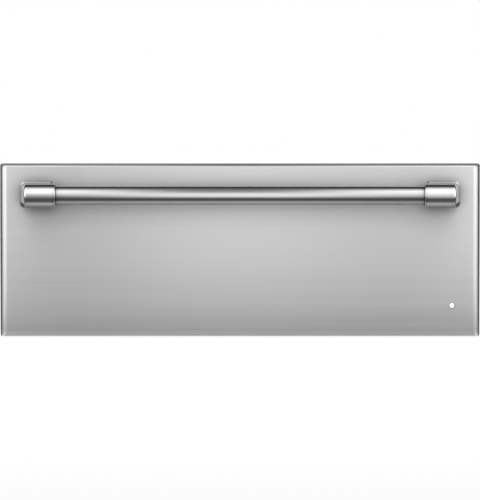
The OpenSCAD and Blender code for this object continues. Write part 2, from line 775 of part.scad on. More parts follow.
// A member's outline is its upper half and the mirror of it
function mirrored(p) = concat([for (q = p) [q[0], -q[1]]], [for (i = [len(p) - 1 : -1 : 0]) p[i]]);

// Mid-line that cups race c from angle a0 to a1, turns level at angle flat, and folds down into a web at u
function cup(c, a0, a1, flat, u, r) =
    let (turn = c + (race_mid_r + web_bend) * [cos(a1), sin(a1)],
        level = arc(turn, web_bend, a1 + 180, flat, 3), v = level[3][1])
    concat(arc(c, race_mid_r, a0, a1, 8), after_first(level),
        after_first(fold([level[3], [u, v], [u, 0.01]], r)));
function after_first(p) = [for (i = [1 : len(p) - 1]) p[i]];

web_bend = 0.8;
outer_half = cup(race_1, 50, 130, 270, slide_t / 2, 1.2);
middle_half = concat(arc(race_2, race_mid_r, 40, 112, 7),
    cup(race_1, -60, -120, 90, middle_u + slide_t / 2, web_bend));
inner_half = cup(race_2, 240, 290, 450, slide_w - slide_t / 2, 1);

// Section given by u and v, placed on the right wall of the cavity
module slide_part(y0, y1)
    along_y(y0, y1)
        translate([cav_x, slide_z]) mirror([1, 0, 0]) children();

module slide_outer()
    difference() {
        slide_part(slide_y, slide_end) polygon(strip(mirrored(outer_half), slide_t));
        for (y = slide_screw_ys)
            rod_x(y, slide_z, screw_r + fit, cav_x - slide_t - 1, cav_x + 1);
    }

module slide_middle()
    difference() {
        slide_part(slide_y, slide_end) polygon(strip(mirrored(middle_half), slide_t));
        for (y = slide_screw_ys)
            rod_x(y, slide_z, head_r + head_room, cav_x - middle_u - slide_t - 2, cav_x - past);
    }

module slide_inner()
    difference() {
        slide_part(slide_y, slide_end) polygon(strip(mirrored(inner_half), slide_t));
        for (y = arm_screw_ys)
            rod_x(y, slide_z, screw_r + fit, arm_x - 1, arm_x + slide_t + 1);
    }

cage_over = 2.7;     // reach of a cage's flanges past its balls
cage_rim = 6;        // least length of a cage past its last ball
ball_ys = [for (i = [0 : floor((cage_len - 2 * cage_rim) / ball_pitch)]) i * ball_pitch];
cage_y = slide_y + (slide_len - cage_len) / 2;
ball_y0 = cage_y + (cage_len - ball_ys[len(ball_ys) - 1]) / 2;

// Ball cage: a channel whose two flanges carry the balls of a race at c
module cage(u, c, reach)
    difference() {
        slide_part(cage_y, cage_y + cage_len)
            polygon(strip(fold([[reach, -c[1]], [u + cage_t / 2, -c[1]], [u + cage_t / 2, c[1]], [reach, c[1]]],
                0.8), cage_t));
        for (y = ball_ys, s = [-1, 1])
            rod_z(cav_x - c[0], ball_y0 + y, ball_r + fit, slide_z + s * c[1] - 1, slide_z + s * c[1] + 1);
        translate([0, cage_y + cage_len / 2, slide_z])
            along_x(cav_x - u - cage_t - 1, cav_x - u + 1)
                polygon(round_rect(cage_len / 2 - 2 * cage_rim, c[1] - cage_rim, 3, 4));
    }

module balls(c)
    for (y = ball_ys, s = [-1, 1])
        translate([cav_x - c[0], ball_y0 + y, slide_z + s * c[1]]) sphere(r = ball_r, $fn = 24);

module left_slide_outer() color("lightgray") mirror([1, 0, 0]) slide_outer();
module right_slide_outer() color("lightgray") slide_outer();
module left_slide_middle() color("silver") mirror([1, 0, 0]) slide_middle();
module right_slide_middle() color("silver") slide_middle();
module left_slide_inner() color("lightgray") mirror([1, 0, 0]) slide_inner();
module right_slide_inner() color("lightgray") slide_inner();
module left_outer_cage() color("gold") mirror([1, 0, 0]) cage(cage_1_u, race_1, race_1[0] + cage_over);
module right_outer_cage() color("gold") cage(cage_1_u, race_1, race_1[0] + cage_over);
module left_inner_cage() color("gold") mirror([1, 0, 0]) cage(cage_2_u, race_2, race_2[0] + cage_over);
module right_inner_cage() color("gold") cage(cage_2_u, race_2, race_2[0] + cage_over);
module left_outer_balls() color("white") mirror([1, 0, 0]) balls(race_1);
module right_outer_balls() color("white") balls(race_1);
module left_inner_balls() color("white") mirror([1, 0, 0]) balls(race_2);
module right_inner_balls() color("white") balls(race_2);

flat_head = 0.8;     // height of the slide screws' flat heads
slide_bite = 2;

module slide_screws()
    color("darkgray")
        both_sides()
            for (y = slide_screw_ys)
                translate([cav_x - slide_t, y, slide_z]) rotate([0, -90, 0])
                    union() {
                        translate([0, 0, -slide_t - liner_t - slide_bite])
                            cylinder(r = screw_r, h = slide_t + liner_t + slide_bite + flat_head / 2);
                        cylinder(r = head_r, h = flat_head);
                    }

// ---- Casing ----

module vent_row(count, pitch)
    for (i = [0 : count - 1])
        translate([(i - (count - 1) / 2) * pitch, 0])
            polygon(round_rect(vent_slot_w / 2, vent_slot_l / 2, vent_slot_w / 2 - 0.05, 5));

foot_ys = [case_y + 1.5 * foot_in, back_y - foot_in];
foot_x = case_x - foot_in;
base_vent_in = 28;   // base vents inside the casing's right wall
base_vent_shift = 40;
side_vent_drop = 60; // side vents' middle below the casing's top
side_vent_pitch = 14;
rear_vent_drop = 70;
rear_vent_pitch = 12;
rear_vent_xs = [-0.61 * case_x, 0, 0.42 * case_x];
bead_r = 14;         // crown radius of the top's beads
bead_in = 50;        // beads' ends inside the top's edges
rear_flange_up = 40; // start of the rear panel's folded flange above its lower edge

module base_pan()
    color("lightsteelblue")
        difference() {
            along_x(-case_x, case_x)
                polygon(strip(fold([[case_y + case_t / 2, case_z + base_flange],
                    [case_y + case_t / 2, case_z + case_t / 2],
                    [back_y - case_t - case_t / 2, case_z + case_t / 2],
                    [back_y - case_t - case_t / 2, case_z + base_flange]]), case_t));
            both_sides() {
                for (y = foot_ys)
                    rod_z(foot_x, y, screw_r + fit, case_z - 1, case_z + case_t + 1);
                for (y = side_screw_ys)
                    rod_z(flange_screw_x, y, screw_r + fit, case_z - 1, case_z + case_t + 1);
            }
            for (x = edge_screw_xs)
                rod_y(x, low_screw_z, screw_r + fit, back_y - case_t - 3, back_y + 1);
            translate([case_x - base_vent_in, (case_y + back_y) / 2 + base_vent_shift, case_z - past])
                linear_extrude(case_t + 2 * past) rotate(90) vent_row(vent_slot_count, side_vent_pitch);
        }

corner_relief = fold_r - case_t / 2 + 0.3;

// Right side panel: a web with flanges turned in at its top, bottom, front and rear,
// cut back at its lower corners for the base pan's turned-up ends
module side_panel()
    difference() {
        union() {
            along_y(case_y + case_t, back_y - case_t)
                polygon(strip(fold([[case_x - case_flange, case_z + case_t * 1.5],
                    [case_x - case_t / 2, case_z + case_t * 1.5],
                    [case_x - case_t / 2, case_top - case_t * 1.5],
                    [case_x - case_flange, case_top - case_t * 1.5]]), case_t));
            linear_extrude_between(case_z + base_flange + 1, case_top - case_t - 3)
                polygon(strip(fold([[case_x - case_flange, case_y + case_t / 2],
                    [case_x - case_t / 2, case_y + case_t / 2], [case_x - case_t / 2, back_y - case_t * 1.5],
                    [case_x - case_flange, back_y - case_t * 1.5]]), case_t));
        }
        for (y = [case_y, back_y - 2 * case_t - corner_relief])
            box([case_x - case_flange - 1, y, case_z],
                [case_x + 1, y + 2 * case_t + corner_relief, case_z + base_flange + 0.5]);
        for (y = side_screw_ys) {
            rod_z(flange_screw_x, y, screw_r + fit, case_z, case_z + 4);
            rod_z(flange_screw_x, y, screw_r + fit, case_top - 4, case_top);
        }
        for (z = rear_screw_zs)
            rod_y(flange_screw_x, z, screw_r + fit, back_y - 5, back_y);
        translate([case_x, (case_y + back_y) / 2, case_top - side_vent_drop]) rotate([90, 0, 90])
            translate([0, 0, -case_t - past])
                linear_extrude(case_t + 2 * past) vent_row(vent_slot_count, side_vent_pitch);
    }

module left_side_panel() color("lightsteelblue") mirror([1, 0, 0]) side_panel();
module right_side_panel() color("lightsteelblue") side_panel();

module top_cover()
    color("lightsteelblue")
        difference() {
            union() {
                box([-case_x, case_y, case_top - case_t], [case_x, back_y, case_top]);
                beads(0);
            }
            beads(case_t);
            both_sides()
                for (y = side_screw_ys)
                    rod_z(flange_screw_x, y, screw_r + fit, case_top - 3, case_top + 1);
            for (x = edge_screw_xs)
                rod_z(x, top_screw_y, screw_r + fit, case_top - 3, case_top + 1);
        }

// Pressed beads along the top, each the crown of a long round bar; d draws their inside in
module beads(d)
    for (i = [0 : bead_count - 1])
        let (x = (i - (bead_count - 1) / 2) * 2 * (case_x - bead_in) / bead_count, r = bead_r)
            intersection() {
                rod_y(x, case_top + bead_h - r, r - d, case_y + bead_in + d, back_y - bead_in - d);
                box([x - r, case_y, case_top - case_t - (d > 0 ? past : 0)], [x + r, back_y, case_top + r]);
            }

module rear_panel()
    color("lightsteelblue")
        difference() {
            union() {
                box([-case_x, back_y - case_t, case_z], [case_x, back_y, case_top - case_t]);
                along_x(-case_x + case_flange + 2, case_x - case_flange - 2)
                    polygon(strip(fold([[back_y - case_t / 2, case_z + rear_flange_up],
                        [back_y - case_t / 2, case_top - case_t * 1.5],
                        [back_y - case_flange, case_top - case_t * 1.5]]), case_t));
            }
            both_sides()
                for (z = rear_screw_zs)
                    rod_y(flange_screw_x, z, screw_r + fit, back_y - 3, back_y + 1);
            for (x = edge_screw_xs) {
                rod_y(x, low_screw_z, screw_r + fit, back_y - 3, back_y + 1);
                rod_z(x, top_screw_y, screw_r + fit, case_top - 4, case_top + 1);
            }
            plate_y(inlet_x - inlet_w / 2, inlet_x + inlet_w / 2, inlet_z - inlet_h / 2, inlet_z + inlet_h / 2,
                3, back_y - 3, back_y + past);
            for (s = [-1, 1])
                rod_y(inlet_x + s * inlet_screw_x, inlet_z, screw_r + fit, back_y - 3, back_y + past);
            for (x = rear_vent_xs)
                translate([x, back_y + past, case_top - rear_vent_drop]) rotate([90, 0, 0])
                    linear_extrude(case_t + 2 * past) vent_row(vent_slot_count, rear_vent_pitch);
        }

module front_frame()
    color("silver")
        difference() {
            union() {
                plate_y(-frame_x, frame_x, frame_z, frame_top, 4, frame_y, case_y);
                for (z = [frame_z + 1.2, frame_top - 1.2])
                    box([-frame_x + 6, case_y - 0.5, z - 1.2], [frame_x - 6, case_y + 6, z + 1.2]);
            }
            plate_y(-cav_x, cav_x, cav_z, cav_top, liner_r, frame_y - 1, case_y + 1);
            both_sides()
                for (z = mount_zs)
                    rod_y(mount_x, z, mount_hole_r, frame_y - 1, case_y + 1);
            rod_y(knob_x, knob_z, bush_r + fit, frame_y - 1, case_y + 1);
            rod_y(light_x, light_z, lamp_r + fit, frame_y - 1, case_y + 1);
            for (z = liner_screw_zs, s = [-1, 1])
                rod_y(s * liner_screw_x, z, screw_r + fit, frame_y - past, case_y + past);
        }

module door_gasket()
    color("dimgray")
        difference() {
            plate_y(-cav_x - gasket_in - gasket_w, cav_x + gasket_in + gasket_w, cav_z - gasket_in - gasket_w,
                cav_top + gasket_in + gasket_w, liner_r + 6, tray_y + 0.3, frame_y);
            plate_y(-cav_x - gasket_in, cav_x + gasket_in, cav_z - gasket_in, cav_top + gasket_in, liner_r + 1,
                tray_y - 1, frame_y + 1);
        }

element_hole_r = element_r + 2;

module cavity_liner()
    color("slategray")
        difference() {
            union() {
                plate_y(-cav_x - liner_t, cav_x + liner_t, cav_z - liner_t, cav_top + liner_t,
                    liner_r + liner_t, case_y, cav_back + liner_t);
                plate_y(-cav_x - liner_flange, cav_x + liner_flange, cav_z - liner_flange,
                    cav_top + liner_flange, liner_r + 2, case_y, case_y + liner_t);
            }
            plate_y(-cav_x, cav_x, cav_z, cav_top, liner_r, case_y - 1, cav_back);
            both_sides() {
                for (y = slide_screw_ys)
                    rod_x(y, slide_z, screw_r + fit, cav_x - 1, cav_x + 2);
                rod_y(element_half_end, element_z, element_hole_r - 1, cav_back - 1, cav_back + 2);
            }
            rod_x(sensor_y, sensor_z, capillary_r + 0.4, cav_x - past, cav_x + liner_t + past);
            for (p = clip_places)
                rod_z(p[0], p[1], screw_r + fit, cav_z - liner_t - 1, cav_z + 1);
            for (z = liner_screw_zs, s = [-1, 1])
                rod_y(s * liner_screw_x, z, screw_r + fit, case_y - past, case_y + liner_t + past);
        }

wool_y = case_y + liner_t + 10;

module glass_wool()
    color("khaki")
        difference() {
            box([-case_x + case_t + case_flange, wool_y, case_z + case_t + 2],
                [cav_x + liner_t + wool_right_t, cav_back + liner_t + wool_rear_t, case_top - case_t * 2 - 1]);
            plate_y(-cav_x - liner_t, cav_x + liner_t, cav_z - liner_t, cav_top + liner_t, liner_r + liner_t,
                wool_y - 1, cav_back + liner_t);
            both_sides() {
                for (y = slide_screw_ys)
                    rod_x(y, slide_z, screw_r + 1, cav_x, cav_x + 6);
                rod_y(element_half_end, element_z, element_r + 3, cav_back, cav_back + wool_rear_t + 2);
            }
            rod_x(sensor_y, sensor_z, capillary_r + 2, cav_x, cav_x + wool_right_t + 2);
            rod_y(0, cutout_z, 16, cav_back, cav_back + wool_rear_t + 2);
            for (p = clip_places)
                rod_z(p[0], p[1], screw_r + 1, cav_z - 6, cav_z);
            for (x = [-foot_x, foot_x], y = foot_ys)
                rod_z(x, y, screw_r + 1, case_z, case_z + 7);
        }

// ---- Heater, sensor and controls ----

// Quarter bend of the element about c, from angle a
module element_bend(c, a)
    translate([c[0], c[1], element_z]) rotate(a)
        rotate_extrude(angle = 90) translate([element_bend_r, 0]) circle(r = element_r, $fn = 32);

element_out_y = cav_back + liner_t + wool_rear_t + 6;

// One loop of sheathed tube: in at the rear, out to the sides and across the front
module heating_element() {
    b = element_bend_r;
    color("darkslategray")
        both_sides()
            union() {
                rod_y(element_half_end, element_z, element_r, element_rear + b, element_out_y);
                element_bend([element_half_end + b, element_rear + b], 180);
                rod_x(element_rear, element_z, element_r, element_half_end + b, element_half_w - b);
                element_bend([element_half_w - b, element_rear - b], 0);
                rod_y(element_half_w, element_z, element_r, element_front + b, element_rear - b);
                element_bend([element_half_w - b, element_front + b], 270);
                rod_x(element_front, element_z, element_r, 0, element_half_w - b);
                rod_y(element_half_end, element_z, element_r * 0.45, element_out_y, element_out_y + 10);
            }
}

clip_in = 80;        // side clips inside the element's front and rear runs
clip_reach = 16;     // from a clip's screw to the element's axis
clip_w = 12;
clip_t = 1.2;
clip_wall = 1.6;     // wall of the hook round the element
clip_slot = 4;       // opening of the hook
clip_screw_len = 4;
clip_places = concat(
    [for (s = [-1, 1], y = [element_front + clip_in, element_rear - clip_in])
        [s * (element_half_w - clip_reach), y]],
    [[0, element_front + clip_reach]]);

// Foot, upright and open hook of one element clip, standing on the cavity floor
module element_clip(turn)
    rotate(turn) {
        difference() {
            box([-clip_w / 2, -clip_w / 2, 0], [clip_reach, clip_w / 2, clip_t]);
            translate([0, 0, -past]) cylinder(r = screw_r + fit, h = clip_t + 2 * past);
        }
        difference() {
            union() {
                box([clip_reach - clip_w / 2, -clip_w / 2, 0],
                    [clip_reach + clip_w / 2, clip_w / 2, element_up - element_r + 1]);
                translate([clip_reach, clip_w / 2, element_up]) rotate([90, 0, 0])
                    cylinder(r = element_r + clip_wall, h = clip_w);
            }
            translate([clip_reach, clip_w / 2 + past, element_up]) rotate([90, 0, 0])
                cylinder(r = element_r + seat, h = clip_w + 2 * past);
            box([clip_reach - clip_w / 2 + clip_wall, -clip_w, -past],
                [clip_reach + clip_w / 2 - clip_wall, clip_w, element_up - element_r - clip_wall]);
            box([clip_reach - clip_slot / 2, -clip_w, element_up],
                [clip_reach + clip_slot / 2, clip_w, element_up + clip_w]);
        }
    }

module element_clips()
    color("silver")
        for (p = clip_places)
            translate([p[0], p[1], cav_z]) {
                element_clip(p[0] > 0 ? 0 : (p[0] < 0 ? 180 : 270));
                translate([0, 0, clip_t]) screw(clip_screw_len);
            }

sensor_y = cav_back - 2 * element_in;
sensor_drop = 12;
sensor_z = cav_top - sensor_drop;
bulb_r = 3;
bulb_len = 100;
bulb_x = cav_x - 2 * bulb_r;
capillary_r = 1;
sensor_clip_w = 8;
sensor_clip_wall = 1.5;

// Bulb under the cavity roof, joined to the thermostat by a thin tube
module sensor_tube()
    color("peru")
        union() {
            rod_x(sensor_y, sensor_z, capillary_r, bulb_x - bulb_r, cav_x + liner_t + wool_right_t + 6);
            rod_y(bulb_x, sensor_z, bulb_r, sensor_y - bulb_len, sensor_y + 2 * capillary_r);
            tube_in_plane(fold([[sensor_y + 1.5 * capillary_r, sensor_z], [case_y + thermo_d + 34, sensor_z],
                [case_y + thermo_d + 34, knob_z + 10], [case_y + thermo_d + 4, knob_z + 10]], 12, 5),
                capillary_r, cav_x + liner_t + wool_right_t + 5);
        }

module sensor_clips()
    color("silver")
        for (y = [sensor_y - 0.8 * bulb_len, sensor_y - 0.25 * bulb_len], w = [sensor_clip_w / 2],
            r = [bulb_r + sensor_clip_wall])
            difference() {
                box([bulb_x - r, y - w, sensor_z - r], [cav_x, y + w, sensor_z + r]);
                rod_y(bulb_x, sensor_z, bulb_r + fit, y - w - past, y + w + past);
                box([bulb_x - bulb_r / 2, y - w - past, sensor_z - r - past],
                    [bulb_x + bulb_r / 2, y + w + past, sensor_z]);
            }

module thermostat_body()
    color("ivory")
        difference() {
            union() {
                plate_y(knob_x - thermo_w / 2, knob_x + thermo_w / 2, knob_z - thermo_h / 2,
                    knob_z + thermo_h / 2, 4, case_y + case_t, case_y + case_t + thermo_d);
                rod_y(knob_x, knob_z, bush_r, frame_y - 4, case_y + case_t + 1);
                for (s = [-1, 1], z = [knob_z + s * thermo_h / 3])
                    box([knob_x - 1, case_y + case_t + thermo_d - 1, z - tab_w / 2],
                        [knob_x + 1, case_y + case_t + thermo_d + tab_len, z + tab_w / 2]);
            }
            rod_y(knob_x, knob_z, shaft_r + fit, frame_y - 6, case_y + 12);
        }

module thermostat_nut()
    color("goldenrod")
        difference() {
            translate([knob_x, frame_y - 2.4, knob_z]) rotate([-90, 0, 0]) cylinder(r = 8, h = 2.4, $fn = 6);
            rod_y(knob_x, knob_z, bush_r + fit, frame_y - 4, frame_y + 1);
        }

knob_y = frame_y - 5 - knob_h;
shaft_y = frame_y - 14;

module d_shaft(r, y0, y1)
    difference() {
        rod_y(knob_x, knob_z, r, y0, y1);
        box([knob_x - 5, y0 - 1, knob_z + r * 0.6], [knob_x + 5, frame_y - 6, knob_z + 5]);
    }

module thermostat_shaft()
    color("gainsboro") d_shaft(shaft_r, shaft_y, case_y + 10);

// Skirt and waisted grip of the knob, with a pointer groove
module temperature_knob()
    color("darkslategray")
        difference() {
            union() {
                translate([knob_x, knob_y + knob_h, knob_z]) rotate([90, 0, 0])
                    rotate_extrude() polygon([[0, 0], [knob_dia / 2, 0], [knob_dia / 2, 2.5],
                        [knob_dia / 2 - 1.5, 4.5], [knob_dia / 2 - 2.5, 6], [0, 6]]);
                hull() {
                    along_y(knob_y + knob_h - 6, knob_y + knob_h - 5)
                        polygon(round_rect(6, knob_dia / 2 - 2.6, 5, 6, [knob_x, knob_z]));
                    along_y(knob_y, knob_y + 1)
                        polygon(round_rect(4.2, knob_dia / 2 - 3.4, 3.6, 6, [knob_x, knob_z]));
                }
            }
            d_shaft(shaft_r + fit, shaft_y - 0.3, frame_y);
            box([knob_x - 0.6, knob_y - 1, knob_z + 4], [knob_x + 0.6, knob_y + 0.6, knob_z + knob_dia / 2]);
            translate([knob_x, frame_y - 5 + 1, knob_z]) rotate([90, 0, 0]) cylinder(r = 9, h = 2.4);
        }

module indicator_lamp()
    color("white")
        union() {
            rod_y(light_x, light_z, lamp_r, frame_y - 0.8, case_y + lamp_len);
            rod_y(light_x, light_z, lamp_r + 2, case_y, case_y + 2);
            for (s = [-1, 1])
                box([light_x + s * 2 - 0.4, case_y + lamp_len - 1, light_z - 2.4],
                    [light_x + s * 2 + 0.4, case_y + lamp_len + 7, light_z + 2.4]);
        }

cutout_z = cav_z + 110;

// Disc thermostat on the back of the cavity
module thermal_cutout()
    color("sienna")
        union() {
            rod_y(0, cutout_z, 8.5, cav_back + liner_t, cav_back + liner_t + 4);
            rod_y(0, cutout_z, 6.5, cav_back + liner_t + 4, cav_back + liner_t + 12);
            for (s = [-1, 1])
                box([s * 4 - 1.5, cav_back + liner_t + 11, cutout_z - 0.4],
                    [s * 4 + 1.5, cav_back + liner_t + 20, cutout_z + 0.4]);
        }

block_pitch = 13;    // distance between the terminal block's ways
block_in = 150;
block_w = 20;
block_h = 18;
block_y = back_y - block_in;
block_x = case_x - 25;
block_top = case_z + case_t + block_h;

module terminal_block()
    color("ivory")
        difference() {
            box([block_x - block_w / 2, block_y, case_z + case_t],
                [block_x + block_w / 2, block_y + 4 * block_pitch, block_top]);
            for (i = [0.5 : 3.5]) {
                for (s = [-1, 1])
                    rod_z(block_x + s * block_w / 4, block_y + i * block_pitch, 2.6, block_top - 8,
                        block_top + past);
                rod_x(block_y + i * block_pitch, case_z + case_t + 8, 2.4, block_x - block_w,
                    block_x + block_w);
            }
        }

wire_r = 1.5;
lead_bend = 9;
lead_up = 45;        // height of the lower leads above the casing's underside
thermo_lead_up = 70;
thermo_lead_y = case_y + case_t + thermo_d + 40;
inlet_lead = 90;     // turn of the inlet's leads ahead of the rear panel
lamp_lead = 60;

// Leads between the inlet, the terminal block, the thermostat and the lamp
module wiring()
    color("firebrick") {
        tube_in_plane(fold([[back_y - case_t - inlet_deep, inlet_z], [back_y - inlet_lead, inlet_z],
            [back_y - inlet_lead, case_z + lead_up], [block_y + 2 * block_pitch, case_z + lead_up],
            [block_y + 2 * block_pitch, block_top]], lead_bend, 5), wire_r, block_x);
        tube_in_plane(fold([[block_y + block_pitch / 2, block_top],
            [block_y + block_pitch / 2, case_z + thermo_lead_up],
            [thermo_lead_y, case_z + thermo_lead_up], [thermo_lead_y, knob_z - thermo_h / 3],
            [case_y + case_t + thermo_d + tab_len, knob_z - thermo_h / 3]], lead_bend, 5), wire_r, knob_x);
        tube_in_plane(fold([[case_y + lamp_len + 7, light_z], [case_y + lamp_lead, light_z],
            [case_y + lamp_lead, case_z + lead_up + 7], [block_y + 1.5 * block_pitch, case_z + lead_up + 7],
            [block_y + 1.5 * block_pitch, block_top]], lead_bend, 5), wire_r, light_x + 2);
    }

module power_inlet()
    color("black")
        difference() {
            union() {
                plate_y(inlet_x - 25, inlet_x + 25, inlet_z - 14, inlet_z + 14, 4, back_y, back_y + inlet_lip);
                plate_y(inlet_x - inlet_w / 2 + 0.2, inlet_x + inlet_w / 2 - 0.2, inlet_z - inlet_h / 2 + 0.2,
                    inlet_z + inlet_h / 2 - 0.2, 2.8, back_y - case_t - inlet_deep + 1, back_y + 0.5);
            }
            plate_y(inlet_x - inlet_w / 2 + 2, inlet_x + inlet_w / 2 - 2, inlet_z - inlet_h / 2 + 2,
                inlet_z + inlet_h / 2 - 2, 2, back_y - 17, back_y + 3);
            for (s = [-1, 1]) {
                rod_y(inlet_x + s * inlet_screw_x, inlet_z, screw_r + fit, back_y - 1, back_y + 3);
                rod_y(inlet_x + s * inlet_screw_x, inlet_z, inlet_head_r + 2 * seat,
                    back_y + inlet_lip - inlet_sink, back_y + 3);
            }
        }

// ---- Feet and screws ----

foot_web = 5;        // rubber between the screw's head and the casing
foot_taper = 2.5;

module feet()
    color("black")
        both_sides()
            for (y = foot_ys)
                translate([foot_x, y, 0])
                    rotate_extrude() polygon([[screw_r + fit, case_z - foot_web],
                        [head_r + head_room, case_z - foot_web], [head_r + head_room, 0], [foot_r, 0],
                        [foot_r - foot_taper, case_z], [screw_r + fit, case_z]]);

module foot_screws()
    color("darkgray")
        both_sides()
            for (y = foot_ys)
                translate([foot_x, y, case_z - foot_web]) mirror([0, 0, 1]) screw(foot_screw_len);

module case_screws()
    color("darkgray") {
        both_sides() {
            for (y = side_screw_ys) {
                translate([flange_screw_x, y, case_top]) screw(case_screw_len);
                translate([flange_screw_x, y, case_z]) mirror([0, 0, 1]) screw(case_screw_len);
            }
            for (z = rear_screw_zs)
                translate([flange_screw_x, back_y, z]) rotate([-90, 0, 0]) screw(case_screw_len);
        }
        for (x = edge_screw_xs) {
            translate([x, top_screw_y, case_top]) screw(case_screw_len);
            translate([x, back_y, low_screw_z]) rotate([-90, 0, 0]) screw(case_screw_len);
        }
        for (s = [-1, 1])
            translate([inlet_x + s * inlet_screw_x, back_y + inlet_lip - inlet_sink, inlet_z])
                rotate([-90, 0, 0]) screw(case_screw_len, screw_r, inlet_head_r);
    }

base_pan();
left_side_panel();
right_side_panel();
top_cover();
rear_panel();
front_frame();
door_gasket();
cavity_liner();
glass_wool();
heating_element();
element_clips();
thermostat_body();
thermostat_nut();
sensor_tube();
sensor_clips();
thermal_cutout();
terminal_block();
indicator_lamp();
wiring();
power_inlet();
feet();
foot_screws();
case_screws();
left_slide_outer();
right_slide_outer();
slide_screws();
left_slide_middle();
right_slide_middle();
left_slide_inner();
right_slide_inner();
left_outer_cage();
right_outer_cage();
left_inner_cage();
right_inner_cage();
left_outer_balls();
right_outer_balls();
left_inner_balls();
right_inner_balls();
front_skin();
front_tray();
front_wool();
handle_bar();
left_handle_cap();
right_handle_cap();
left_handle_post();
right_handle_post();
handle_screws();
handle_washers();
light_pipe();
light_ring();
left_arm();
right_arm();
cross_bar();
drawer_screws();
pan();
wire_rack();
vent_shutter();
vent_rivets();
temperature_knob();
thermostat_shaft();
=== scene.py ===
import math

import bmesh
import bpy
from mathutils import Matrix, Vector


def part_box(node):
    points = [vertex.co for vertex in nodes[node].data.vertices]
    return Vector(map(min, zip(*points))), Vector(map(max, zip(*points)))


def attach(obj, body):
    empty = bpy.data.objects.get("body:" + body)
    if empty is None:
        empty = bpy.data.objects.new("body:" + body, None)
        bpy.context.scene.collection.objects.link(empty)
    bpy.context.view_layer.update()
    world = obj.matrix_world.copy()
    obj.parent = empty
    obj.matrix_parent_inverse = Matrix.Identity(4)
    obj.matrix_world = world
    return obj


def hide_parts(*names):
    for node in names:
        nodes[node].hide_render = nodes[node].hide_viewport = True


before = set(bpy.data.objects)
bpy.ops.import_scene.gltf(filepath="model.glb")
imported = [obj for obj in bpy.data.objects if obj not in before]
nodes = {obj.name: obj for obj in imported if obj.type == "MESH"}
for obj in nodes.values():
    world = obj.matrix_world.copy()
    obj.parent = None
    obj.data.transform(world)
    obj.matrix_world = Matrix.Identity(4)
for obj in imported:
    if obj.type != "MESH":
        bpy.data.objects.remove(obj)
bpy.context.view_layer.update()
mm = 0.001
scene = bpy.context.scene
print("frame loaded:", len(nodes), "nodes")


# Shader nodes

def makeShader(name):
    material = bpy.data.materials.new(name)
    material.use_nodes = True
    tree = material.node_tree
    shader = tree.nodes["Principled BSDF"]
    return material, tree, shader


def fill(tree, node, inputs):
    # each input gets a value or another node's output
    for key, value in inputs.items():
        if isinstance(value, bpy.types.NodeSocket):
            tree.links.new(value, node.inputs[key])
        else:
            node.inputs[key].default_value = value


def addNode(tree, kind, inputs=None, **settings):
    node = tree.nodes.new(kind)
    for key, value in settings.items():
        setattr(node, key, value)
    fill(tree, node, inputs or {})
    return node


def mathNode(tree, operation, *values):
    return addNode(tree, "ShaderNodeMath", dict(enumerate(values)), operation=operation).outputs[0]


def objectPoint(tree, scale=(1, 1, 1)):
    place = addNode(tree, "ShaderNodeTexCoord")
    return addNode(tree, "ShaderNodeMapping",
                   {"Vector": place.outputs["Object"], "Scale": scale}).outputs["Vector"]


def noise(tree, point, scale, detail=3.0, rough=0.55, distortion=0.0):
    return addNode(tree, "ShaderNodeTexNoise",
                   {"Vector": point, "Scale": scale, "Detail": detail,
                    "Roughness": rough, "Distortion": distortion}).outputs["Fac"]


def remap(tree, value, low, high, fromLow=0.3, fromHigh=0.7):
    return addNode(tree, "ShaderNodeMapRange",
                   {"Value": value, "From Min": fromLow, "From Max": fromHigh,
                    "To Min": low, "To Max": high}).outputs["Result"]


def mixColours(tree, part, first, second):
    # first and second are each a colour or a node's output
    ends = [c if isinstance(c, bpy.types.NodeSocket) else (*c, 1) for c in (first, second)]
    return addNode(tree, "ShaderNodeMix", {0: part, 6: ends[0], 7: ends[1]},
                   data_type="RGBA").outputs[2]


def addBump(tree, shader, height, depth, strength=1.0):
    bump = addNode(tree, "ShaderNodeBump",
                   {"Height": height, "Distance": depth, "Strength": strength})
    fill(tree, shader, {"Normal": bump.outputs["Normal"]})


def edgeWear(tree, size=0.0006):
    # 1 on worn outer edges, 0 elsewhere
    bevel = addNode(tree, "ShaderNodeBevel", {"Radius": size}, samples=4)
    normal = addNode(tree, "ShaderNodeNewGeometry").outputs["Normal"]
    dot = addNode(tree, "ShaderNodeVectorMath",
                  {0: bevel.outputs["Normal"], 1: normal}, operation="DOT_PRODUCT")
    return remap(tree, dot.outputs["Value"], 1.0, 0.0, 0.86, 0.995)


def paintedCornerShade(tree, colour, shades, fade=None):
    # painted shade: ambient occlusion darkens the metal's colour where other pieces stand close in front of
    # it
    # fade: the heights from which this sets in and at which it is full
    for reach, power in shades:
        near = addNode(tree, "ShaderNodeAmbientOcclusion", {"Distance": reach}, samples=8)
        value = mathNode(tree, "POWER", near.outputs["AO"], power)
        if fade:
            high = addNode(tree, "ShaderNodeSeparateXYZ", {0: objectPoint(tree)}).outputs["Z"]
            value = mathNode(tree, "MAXIMUM", value, remap(tree, high, 1.0, 0.0, *fade))
        colour = mixColours(tree, value, (0, 0, 0), colour)
    return colour


# Brushed, drawn and plated metals

# shade: painted shade from ambient occlusion, as reach and power; fade: heights over which the painted shade
# sets in
brushed = {
    "colour": (0.745, 0.748, 0.755), "dark": (0.715, 0.718, 0.725),
    "roughness": (0.35, 0.40), "anisotropic": 0.68,
    "grain": (4.0, 1100.0, 1100.0), "grainDepth": 0.000006,
    "band": (1.2, 160.0, 160.0), "shade": ((60 * mm, 0.6), (20 * mm, 0.8)), "fade": (0.0, 90 * mm),
}


